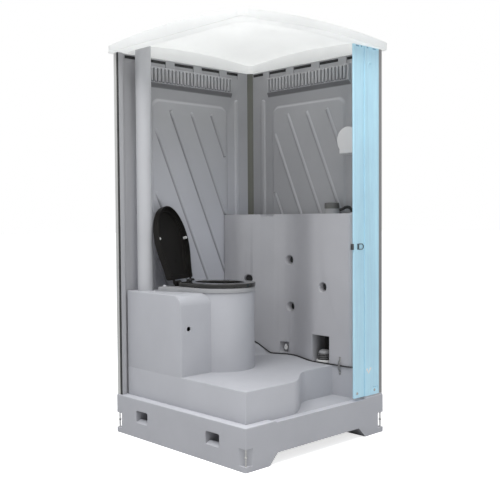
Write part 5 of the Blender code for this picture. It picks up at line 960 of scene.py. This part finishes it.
def build_wall(name, matrix, flip):
    """A ribbed, louvred wall; flip is 1 for the rear wall and -1 for its mirror image on the side."""
    low, high = WALL_INNER, WALL_INNER + WALL_PLATE
    half, bottom = 0.5107, BASE_HEIGHT + TINY
    levels = (-high, -low) if flip > 0 else (low, high)

    wall = plate(name + "_skin", [[(-half, bottom), (half, bottom), (half, WALL_TOP), (-half, WALL_TOP)]],
        levels[0], levels[1], matrix)

    def through(low_x, low_z, high_x, high_z, deep_from, deep_to):
        """The corners, in the row frame, of a box cut into the wall between two depths."""
        xs = sorted((flip * low_x, flip * high_x))
        zs = sorted((-flip * deep_from, -flip * deep_to))
        a, b = matrix @ Vector((xs[0], low_z, zs[0])), matrix @ Vector((xs[1], high_z, zs[1]))
        return (tuple(map(min, a, b)), tuple(map(max, a, b)))

    slots = []
    half_louvre, slot_share, slot_low, slot_high = 0.334, 0.15, 2.062, 2.14
    half_block, block_low, block_top = 0.346, 2.026, 2.154
    pitch = 2 * half_louvre / SLATS
    for i in range(SLATS):
        middle = -half_louvre + pitch * (i + 0.5)
        slots.append(through(middle - pitch * slot_share, slot_low, middle + pitch * slot_share, slot_high,
            low - 2 * OVER, high + 2 * OVER))
    vents = ((0.358, 0.1), (0.17, 0.15), (-0.046, 0.15), (-0.262, 0.15), (-0.44, 0.096))
    middle_depth = (low + high) / 2
    openings, sills, vent_shade_boxes = [], [], []
    vent_low, vent_high, web = 2.176, 2.192, 0.001
    for middle, length in vents:
        near, far = middle - length / 2, middle + length / 2
        openings.append(through(near, vent_low, far, vent_high, low - OVER, middle_depth - web))
        openings.append(through(near, vent_low, far, vent_high, middle_depth + web, high + OVER))
        # Black boxes in the vent slots: painted shade
        vent_shade_boxes.append(through(near + TINY, vent_low + TINY, far - TINY, vent_high - TINY, low + 0.004,
            middle_depth - web - TINY))
        sills.append(through(near, block_top, far, vent_low, low - OVER, low + 0.006))
    faces = []
    for depth, inward in ((low, 1), (high, -1)):
        faces.append(matrix @ at(0, 0, -flip * depth) @ Matrix.Diagonal((flip, 1, flip * inward, 1)))
    blocks, extras, slats = [], [], []
    for place in faces:
        def block_plan(inset):
            half, foot, head = half_block - inset / 2, block_low + inset * 2, block_top - inset / 2
            return [(-half, foot), (half, foot), (half, head), (-half, head)]
        blocks.append(raised("louvre_block", block_plan, 0.016, LOUVRE_RISE, place))
        for i in range(1, SLATS):
            middle = -half_louvre + pitch * i
            slats.append((place, arc(middle, LOUVRE_RISE - 0.0005, 0.0082, 0.0062, pi, 0, 8)))
        extras.append(raised("panel", lambda inset: rounded_rectangle(-0.308 + inset, 0.33 + inset,
            0.308 - inset, 1.965 - inset, 0.06 - inset / 2, 12), 0.02, 0.01, place))
        for way in (-1, 1):
            middle = way * 0.392

            def stile_plan(inset):
                half_width = 0.022 - inset
                return ([(middle - half_width, 0.36 + inset), (middle + half_width, 0.36 + inset)]
                    + arc(middle, 1.998, half_width, half_width, 0, pi, 14))
            extras.append(raised("stile", stile_plan, 0.009, 0.0095, place))
        for ridge in ridges():
            path = [place @ Vector((x, z, 0.0098)) for x, z in ridge]
            normal = place.to_3x3() @ Vector((0, 0, 1))
            extras.append(bell(name + "_ridge", 0.0135, 0.0085, tuple(normal.normalized()), path))
    wall = join(wall, *blocks)
    wall = cut(wall, boxes("slots", slots), boxes("openings", openings), boxes("sills", sills))
    crease = LOUVRE_RISE - 0.0011
    for place, arch in slats:
        bm = bmesh.new()
        rings = [[bm.verts.new((x, z, crease + (y - crease) * swell)) for x, y in arch] for z,
            swell in ((slot_low - 0.002, 0.2), (slot_low + 0.003, 1.0), (slot_high - 0.003, 1.0),
            (slot_high + 0.002, 0.2))]
        skin(bm, rings, len(arch))
        extras.append(add("slat", mesh_of(bm, "slat"), place))
    if flip > 0:
        extras.append(box("flange", (-0.54, 0.5022, bottom), (-0.51, 0.5158, WALL_TOP)))
        seal = box("post_seal", (-0.5445, 0.503, bottom), (-0.5403, 0.5172, WALL_TOP))
        finished(round_edges(seal, 0.0008, 2), "black_rubber")
    wall = merge(name + "_skin", wall, *extras)
    finished(wall, "rear_plastic" if flip > 0 else "wall_plastic", name)
    # The vent slots are filled with black boxes: painted shade
    vent_shade_box = round_edges(boxes(name + "_vent_painted_shade", vent_shade_boxes), 0.0008, 1)
    finished(vent_shade_box, "black_rubber")


def ridges():
    left, right, lean = -0.278, 0.278, 0.436
    run = lean * (1.905 - 0.42)
    first = left - run + 0.104
    out = []
    for i in range(int((right - first) / 0.164) + 1):
        top_x = first + i * 0.164
        x1, z1, x2, z2 = top_x, 1.905, top_x + run, 0.42
        if x1 < left:
            z1, x1 = z1 - (left - x1) / lean, left
        if x2 > right:
            z2, x2 = z2 + (x2 - right) / lean, right
        if z1 - z2 > 0.088 and x1 < x2:
            shares = (0, 0.02, 0.05, 0.5, 0.95, 0.98, 1)
            out.append([(x1 + (x2 - x1) * t, z1 + (z2 - z1) * t) for t in shares])
    return out


def post_outline(kind):
    inner, outer, reach, seal = POST_INNER, POST_OUTER, 0.4885, 0.5175
    low, high, deep, tip = WALL_INNER - TINY, WALL_INNER + WALL_PLATE + TINY, 0.511, 0.512
    corner = arc(outer - 0.006, outer - 0.006, 0.006, 0.006, 0, pi / 2, 10)
    if kind == "post_metal":
        return corner + [(seal, outer), (seal, deep), (high, deep), (high, inner), (outer, inner)]
    nose = [(inner, low), (inner, tip), (tip, inner), (low, inner)]
    if kind == "post_dark":
        nose = [(reach, low), (low, reach)]
    return (corner + [(inner, outer), (inner, high), (deep, high), (deep, low)] + nose
        + [(low, deep), (high, deep), (high, inner), (outer, inner)])


def build_posts():
    bore = [(0.5195, 0.5195), (0.5405, 0.5195), (0.5405, 0.5405), (0.5195, 0.5405)]
    # Each post gets a lit or a shaded copy of the same metal: painted light and shade
    for name, turn, bottom, look in (("post_rear_left", pi / 2, 0.2223, "post_metal"),
            ("post_rear_right", 0, 0.2223, "post_dark"), ("post_front_right", -pi / 2, 0.2303, "post_grey")):
        post = plate(name + "_skin", [post_outline(look), bore], bottom, WALL_TOP,
            Matrix.Rotation(turn, 4, "Z"))
        finished(post, look, name)


def build_jamb():
    front, back, wall = -JAMB_FRONT, -JAMB_BACK, 0.005
    stepped, right, tongue, edge = front + 0.004, 0.5017, 0.5107, 0.004
    thin_back, lap, lap_back, left = stepped + 0.01, 0.51, -POST_OUTER - TINY, 0.2895
    outer = [(left, stepped + edge), (left + edge, stepped), (JAMB_STEP_X - 0.004, stepped),
        (JAMB_STEP_X - 0.003, stepped + 0.005), (JAMB_STEP_X - 0.001, stepped + 0.005),
        (JAMB_STEP_X, front), (lap, front), (lap, lap_back), (right, lap_back), (right, -0.538),
        (tongue, -0.538), (tongue, -0.516), (right, -0.516), (right, back), (JAMB_STEP_X, back),
        (JAMB_STEP_X, thin_back), (left, thin_back)]
    inner = [(JAMB_STEP_X + wall, front + wall), (right - wall, front + wall), (right - wall, back - wall),
        (JAMB_STEP_X + wall, back - wall)]
    jamb = plate("jamb_skin", [outer, inner], BASE_HEIGHT + 0.008 + TINY, WALL_TOP)

    low = BASE_HEIGHT + 0.008
    # The top notches: middle, width, and how far from the front their clip starts and they end
    tops = ((0.325, 0.03, 0.0056, 0.0084), (0.36, 0.014, 0.0056, 0.0084), (0.41, 0.02, 0.003, 0.0044),
        (0.47, 0.034, 0.003, 0.0044))
    notches = [((x - wide / 2, front - OVER, WALL_TOP - 0.011), (x + wide / 2, front + deep,
        WALL_TOP + OVER)) for x, wide, start, deep in tops]
    for near, far, foot, head, deep in ((0.456, 0.463, 0.04, 0.047, 0.0042),
            (0.471, 0.486, 0.04, 0.047, 0.0042), (0.495, 0.4995, 0.03, 0.047, 0.0042),
            (0.376, 0.3815, 0.046, 0.052, 0.0055), (0.2937, 0.3617, -0.001, 0.0055, 0.0052)):
        notches.append(((near, front - OVER, low + foot), (far, front + deep, low + head)))
    for one in notches:
        jamb = cut(jamb, boxes("notch", [one]))
    jamb = round_edges(jamb, 0.0008, 2, 30)
    arch = [Vector((x, front, z)) for x, z in [(0.414, 2.078)] + arc(0.43, 2.096, 0.016, 0.016, pi, 0, 12)
        + [(0.446, 2.078)]]
    jamb = merge("jamb_skin", jamb, bell("arch", 0.005, 0.0042, (0, -1, 0), arch))
    # A white tick at the foot of the jamb's emboss: a painted highlight
    highlight_path = [Vector((x, front, z)) for x, z in ((0.3965, 0.3889), (0.4, 0.383), (0.4148, 0.3601),
        (0.434, 0.385), (0.4387, 0.3907))]
    finished(bell("jamb_painted_highlight", 0.0066, 0.0022, (0, -1, 0), highlight_path), "white_plastic")
    # The clips in the top notches are a darker blue: painted shade
    clips = [((x - wide / 2 + 0.001, front + start, WALL_TOP - 0.0105),
        (x + wide / 2 - 0.001, front + deep - 0.0002, WALL_TOP - 0.001)) for x, wide, start, deep in tops]
    finished(round_edges(boxes("jamb_clips", clips), 0.0005, 1), "blue_shade")
    finished(jamb, "blue_plastic", "door_jamb")

    # Lock keeper: a clip round the thin edge, an upright bar and a D ring in front
    face, level, thick = stepped - TINY, 1.081, 0.004
    low, high = level - 0.0165, level + 0.0165
    left, behind = JAMB_LEFT - TINY, thin_back + TINY
    hook, tail = left + 0.0025, 0.3047
    clip = plate("clip", [[(hook, face), (left, face), (left, behind), (tail, behind),
        (tail, behind + thick), (left - thick, behind + thick), (left - thick, face - thick),
        (hook, face - thick)]], low, high)
    bar = box("bar", (0.3195, face - thick, low), (0.3225, face, high))
    middle, outer, inner = 0.3562, 0.0165, 0.013
    rim = ([(0.3285, low), (middle, low)] + arc(middle, level, outer, outer, -pi / 2, pi / 2, 20)
        + [(0.3285, high)])
    hole = ([(0.332, level + inner), (middle, level + inner)] + arc(middle, level, inner, inner, pi / 2,
        -pi / 2, 20) + [(0.332, level - inner)])
    ring = plate("ring", [rim, hole], -face, -face + thick, REAR_FRAME)
    pieces = [round_edges(one, 0.0008, 2) for one in (clip, bar, ring)]
    finished(merge("keeper_skin", *pieces), "dark_steel", "lock_keeper")
    for i, x in enumerate((0.315, 0.467)):
        face_y = (stepped if x < JAMB_STEP_X else front) - TINY
        place = at(x, face_y, 0.256) @ REAR_FRAME
        head = turned("bolt_head_%d" % (i + 1), [(0, 0.0016), (0.0022, 0.0016), (0.0022, 0.0046),
            (0.004, 0.005), (0.0056, 0.004), (0.0066, 0.0024), (0.0075, 0.002), (0.0075, 0.0), (0, 0)],
            place, 40)
        finished(head, "steel", "jamb_bolt_%d" % (i + 1))


# Roof

def roof_height(x, y):
    rx, ry = 1 - (x / ROOF_HALF) ** 2, 1 - (y / ROOF_HALF) ** 2
    return ROOF_EDGE_Z + 0.032 * (rx + ry) + 0.032 * rx * ry


def domed_block(name, half, low, drop):
    bm = bmesh.new()
    bmesh.ops.create_grid(bm, x_segments=48, y_segments=48, size=half)
    for vert in bm.verts:
        vert.co.z = roof_height(vert.co.x, vert.co.y) - drop
    rim = [edge for edge in bm.edges if edge.is_boundary]
    for item in bmesh.ops.extrude_edge_only(bm, edges=rim)["geom"]:
        if isinstance(item, bmesh.types.BMVert):
            item.co.z = low
    bmesh.ops.contextual_create(bm, geom=[edge for edge in bm.edges if edge.is_boundary])
    return add(name, mesh_of(bm, name))


def build_roof():
    low, above = WALL_TOP + TINY, 2.4
    forms = []
    for name, half, foot, drop, corner in (("roof_skin", ROOF_HALF, low, 0, 0.045),
            ("well", ROOF_WELL_HALF, low - OVER, 0.006, 0.06)):
        side = half - TINY
        plan = plate("plan", [rounded_rectangle(-side, -side, side, side, corner, 12)], foot - OVER, above)
        forms.append(combine(domed_block(name, half, foot, drop), [plan], "INTERSECT"))
    roof, well = forms
    # The header over the doorway is cut to a bow
    half, rise = 0.44, 0.02
    radius = (half ** 2 + rise ** 2) / (2 * rise)
    reach = asin(half / radius)
    bow = arc(0, low + rise - radius, radius, radius, pi / 2 - reach, pi / 2 + reach, 36)
    header = plate("header", [[(half, low - OVER)] + bow + [(-half, low - OVER)]], 0.48,
        ROOF_HALF + OVER, REAR_FRAME)
    outlet = rod("outlet", PIPE_RADIUS + TINY, (PIPE_X, PIPE_Y, low - OVER), (PIPE_X, PIPE_Y, above),
        steps=72)
    roof = cut(roof, well, header, outlet)
    finished(roof, "roof_plastic", "roof")


# Small fittings

def build_overflow():
    middle, waves = Vector((NECK_X, NECK_Y, WATER_TOP)), 32
    route = [middle + Vector(p) for p in ((0.02, -0.047, 0.023), (0.02, -0.056, 0.024),
        (0.021, -0.069, 0.029), (0.022, -0.082, 0.035), (0.023, -0.095, 0.038), (0.024, -0.109, 0.036),
        (0.025, -0.121, 0.029), (0.026, -0.128, 0.018), (0.026, -0.128, 0.0075))]
    path = curve_through(route, 96)

    def section(along):
        return circle(0.0082 + 0.0006 * cos(2 * pi * waves * along), 20)

    finished(sweep("overflow_skin", path, section), "black_rubber", "overflow_hose")
    end = route[-1]
    low = WATER_TOP + TINY
    top = end.z - TINY
    grommet = turned("grommet_skin", [(0, low), (0.0115, low), (0.0115, low + 0.0022),
        (0.01, low + 0.0034), (0.0098, top - 0.001), (0.0088, top), (0, top)], at(end.x, end.y, 0), 40)
    finished(grommet, "tank_plastic", "overflow_grommet")


def build_pump():
    place = at(PUMP_X, PUMP_Y, 0)
    low = STEP_LEVEL + TINY
    floor = low + 0.004
    base = turned("pump_ring", [(0, floor), (0.046, floor), (0.046, low + 0.0145), (0.0468, low + 0.016),
        (0.0492, low + 0.016), (0.05, low + 0.0145), (0.05, low + 0.005), (0.0485, low + 0.0035),
        (0.05, low + 0.002), (0.05, low), (0, low)], place, 72)
    finished(base, "white_plastic", "pump_base")
    start, tall, folds, stroke = floor + TINY, 0.048, 4, 0.026
    profile = [(0, start + tall), (0.032, start + tall)]
    for i in range(folds):
        for s in spread(0, 1, 10)[(0 if i == 0 else 1):]:
            z = start + tall - (i + s) * tall / folds
            profile.append((0.0345 + 0.0083 * sin(pi * s) ** 0.7 if 0 < s < 1 else 0.0345, z))
    profile += [(0.032, start), (0, start)]
    bellows = turned("bellows_skin", profile, place, 72)
    bellows = finished(bellows, "grey_rubber", "pump_bellows")
    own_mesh(bellows)
    top = start + tall + TINY
    cap = turned("pump_head", [(0, top + 0.0175), (0.008, top + 0.0175), (0.01, top + 0.0195),
        (0.0165, top + 0.02), (0.019, top + 0.0193), (0.0225, top + 0.0168), (0.0245, top + 0.0172),
        (0.0268, top + 0.015), (0.0285, top + 0.0152), (0.032, top + 0.0122), (0.0352, top + 0.009),
        (0.036, top + 0.0068), (0.036, top + 0.0012), (0.035, top), (0, top)], place, 72)
    finished(cap, "deck_plastic", "pump_cap", "pump")


def build_drain():
    z = (DRAIN_BAY[2] + DRAIN_BAY[3]) / 2 - 0.0045
    length = 0.022
    front = water_face(DRAIN_Y) + DRAIN_BAY[4] - TINY - length
    valve = turned("valve_skin", [(0, 0), (0.0085, 0), (0.0095, 0.001), (0.0095, 0.006), (0.011, 0.007),
        (0.011, length - 0.0015), (0.0105, length), (0, length)], at(front, DRAIN_Y, z) @ ALONG_X, 40)
    finished(valve, "steel", "drain_valve")
    facing = at(front - TINY - 0.01, DRAIN_Y, z) @ SIDE_FRAME
    radius, tip, tip_radius = 0.014, 0.021, 0.0045
    lean = asin((radius - tip_radius) / tip)
    teardrop = (arc(0, 0, radius, radius, pi - lean, 2 * pi + lean, 40)
        + arc(0, tip, tip_radius, tip_radius, lean, pi - lean, 14))
    knob = round_edges(plate("knob_skin", [teardrop], 0.0, 0.01, facing), 0.0022, 4, 60)
    rib = plate("rib", [rounded_rectangle(-0.0028, -0.01, 0.0028, 0.02, 0.0027, 6)], 0.0002, 0.004, facing)
    finished(join(knob, round_edges(rib, 0.0008, 2, 60)), "white_plastic", "drain_knob", "knob")


def curve_through(points, count):
    dense = []
    for i in range(len(points) - 1):
        p0, p1, p2 = points[max(i - 1, 0)], points[i], points[i + 1]
        p3 = points[min(i + 2, len(points) - 1)]
        for k in range(12):
            s = k / 12
            dense.append(((p1 * 2) + (p2 - p0) * s + (p0 * 2 - p1 * 5 + p2 * 4 - p3) * s * s
                + (p1 * 3 - p0 - p2 * 3 + p3) * s * s * s) / 2)
    dense.append(points[-1])
    lengths = [0.0]
    for a, b in zip(dense, dense[1:]):
        lengths.append(lengths[-1] + (b - a).length)
    out, j = [], 0
    for i in range(count + 1):
        goal = lengths[-1] * i / count
        while j < len(lengths) - 2 and lengths[j + 1] < goal:
            j += 1
        gap = lengths[j + 1] - lengths[j]
        out.append(dense[j].lerp(dense[j + 1], (goal - lengths[j]) / gap if gap else 0))
    return out


def build_hose():
    radius, off_face, off_floor, fitting = 0.0035, 0.0055, 0.0045, 0.016
    floor, curb, slope_end = STEP_LEVEL + off_floor, CURB_TOP + off_floor, CURB_FRONT_Y + CURB_RUN
    inlet = Vector((BENCH_RIGHT_X + fitting + TINY, (REAR_START_Y + slope_end) / 2, curb + 0.024))
    face, near = WATER_FACE_X - off_face, WATER_NEAR_Y - 2 * off_face
    route = [inlet, inlet + Vector((fitting, 0, 0)), (inlet.x + 4 * fitting, inlet.y - fitting,
        curb + 2 * radius), (water_face(slope_end + fitting) - 3 * off_face, slope_end + fitting,
        curb + radius)]
    for share in (1, 1 / 2, 0):
        y = CURB_FRONT_Y + CURB_RUN * share
        route.append((water_face(y) - 2 * off_face, y, STEP_LEVEL + (CURB_TOP - STEP_LEVEL) * share
            + 2 * off_floor))
    route += [(water_face(y) - off_face, y, floor)
        for y in spread(CURB_FRONT_Y - CURB_RUN / 2, SWELL_START, 8)]
    route += [(face, (SWELL_START + STRAP_Y) / 2, floor), (face, STRAP_Y, floor),
        (face, WATER_NEAR_Y + 0.03, floor), (face + 0.01, near, floor + radius),
        (WATER_FACE_X + 0.03, near - radius, floor + 2 * radius), (WATER_FACE_X + 0.06, near - radius,
        floor + 4 * radius), (WATER_FACE_X + 0.06, near - radius, floor + 4 * radius + fitting)]
    route = [Vector(point) for point in route]
    finished(sweep("hose_skin", curve_through(route, 260), circle(radius, 20)), "black_rubber", "flush_hose")
    barb = [(0, 0), (0.008, 0), (0.008, 0.0055), (0.0068, 0.0062), (0.0056, 0.0066), (0.0056, 0.009),
        (0.0066, 0.0092), (0.005, 0.0125), (0.006, 0.0128), (0.0044, fitting - TINY), (0, fitting - TINY)]
    union = turned("bowl_union", barb, at(BENCH_RIGHT_X + TINY, inlet.y, inlet.z) @ ALONG_X, 40)
    finished(union, "black_plastic", "hose_fitting_bowl")
    end = route[-1]
    half = 0.008
    top = end.z + TINY + 2 * half
    elbow = round_edges(box("elbow", (end.x - half, end.y - half / 2, end.z + TINY + 0.002),
        (end.x + half, WATER_NEAR_Y - TINY - 0.0015, top)), 0.003, 4)
    collar = turned("collar", [(0, 0), (0.0062, 0), (0.0066, 0.001), (0.0066, 0.005), (0, 0.005)],
        at(end.x, end.y, end.z + TINY), 32)
    flange = turned("flange", [(0, 0), (0.0085, 0), (0.0085, 0.0015), (0.007, 0.003), (0, 0.003)],
        at(end.x, WATER_NEAR_Y - TINY, top - half) @ REAR_FRAME, 32)
    finished(merge("tank_elbow", elbow, collar, flange), "black_plastic", "hose_fitting_tank")

    front, thick, stand, half_wide = WATER_FACE_X - TINY, 0.0025, 0.01, 0.0065
    low, high, out = 0.338, 0.44, front - stand
    near_low, near_high = low + 0.02, high - 0.02
    side = [(front, low), (front, near_low), (out, near_low + stand), (out, near_high - stand),
        (front, near_high), (front, high)]
    side += [(x - thick, z) for x, z in reversed(side)]
    strap = plate("strap_skin", [side], -STRAP_Y - half_wide, -STRAP_Y + half_wide, REAR_FRAME)
    finished(round_edges(strap, 0.0007, 2, 25), "steel", "hose_strap")
    face = front - thick - TINY
    for name, level in (("lower", low + 0.01), ("upper", high - 0.01)):
        place = at(face, STRAP_Y, level) @ AGAINST_X
        head = turned("strap_head_" + name, [(0, 0.0025), (0.0018, 0.0025), (0.0032, 0.0019),
            (0.0042, 0.0006), (0.0042, 0), (0, 0)], place, 32)
        slot = boxes("slot", [((-0.0005, -0.0032, 0.0012), (0.0005, 0.0032, 0.004)),
            ((-0.0032, -0.0005, 0.0012), (0.0032, 0.0005, 0.004))])
        slot.matrix_world = place
        finished(cut(head, slot), "steel", "strap_screw_" + name)


def build_dispenser():
    def outline(inset):
        radius, foot, half = 0.076 - inset, 0.077 - inset, 0.058 - inset
        start = asin(half / radius)
        return [(-half, -foot), (half, -foot)] + arc(0, 0, radius, radius, -pi / 2 + start,
            3 * pi / 2 - start, 56)

    middle = at(0, DISPENSER_Y, DISPENSER_LEVEL) @ SIDE_FRAME
    back, split, front, wall = 0.5097, 0.41, 0.392, 0.003
    case = round_edges(plate("case_skin", [outline(0)], split + TINY, back, middle), 0.0012, 2, 60)
    hollow = plate("hollow", [outline(wall)], split - OVER, back - wall, middle)
    slot_half = 0.052
    slot = box("slot", (split - OVER, DISPENSER_Y - slot_half, DISPENSER_LEVEL - 0.077 - OVER),
        (split + 0.02, DISPENSER_Y + slot_half, DISPENSER_LEVEL - 0.07))
    finished(cut(case, hollow, slot), "case_plastic", "dispenser_base")
    cover = round_edges(plate("cover_skin", [outline(0)], front, split + 0.009, middle), 0.006, 6, 60)
    cover = cut(cover, box("trim", (split, -0.6, 1.5), (split + 0.02, -0.3, 1.8)),
        plate("hollow", [outline(0.006)], front + wall, split + OVER, middle))
    finished(cover, "case_plastic", "dispenser_cover", "cover")
    spindle = turned("spindle_skin", [(0, 0), (0.0165, 0), (0.0165, 0.088), (0.0155, 0.0905), (0.013, 0.092),
        (0, 0.092)], at(back - wall - TINY, DISPENSER_Y, DISPENSER_LEVEL) @ AGAINST_X, 40)
    finished(spindle, "steel", "roll_spindle")
    low, core, radius, turns = 0.5037 - 0.086, 0.018, 0.056, 9
    profile = [(core, 0.0), (core, 0.086)]
    for i in range(turns):
        a, b = core + (radius - core) * i / turns, core + (radius - core) * (i + 1) / turns
        profile += [(a + 0.0006, 0.0856), ((a + b) / 2, 0.086), (b - 0.0006, 0.0856), (b, 0.085)]
    profile += [(radius, 0.001), (radius - 0.001, 0.0)]
    roll = turned("roll_skin", profile, at(0.5037, DISPENSER_Y, 1.6878) @ AGAINST_X, 96)
    finished(roll, "paper", "paper_roll", "roll")


for build in (build_base, build_waste_tank, build_deck, build_seat, build_lid, build_hinges, build_pipe,
        build_water_tank, build_filler, build_overflow, build_pump, build_drain, build_hose):
    build()
build_wall("rear_wall", REAR_FRAME, 1)
build_wall("side_wall", SIDE_FRAME, -1)
for build in (build_posts, build_jamb, build_dispenser, build_roof):
    build()
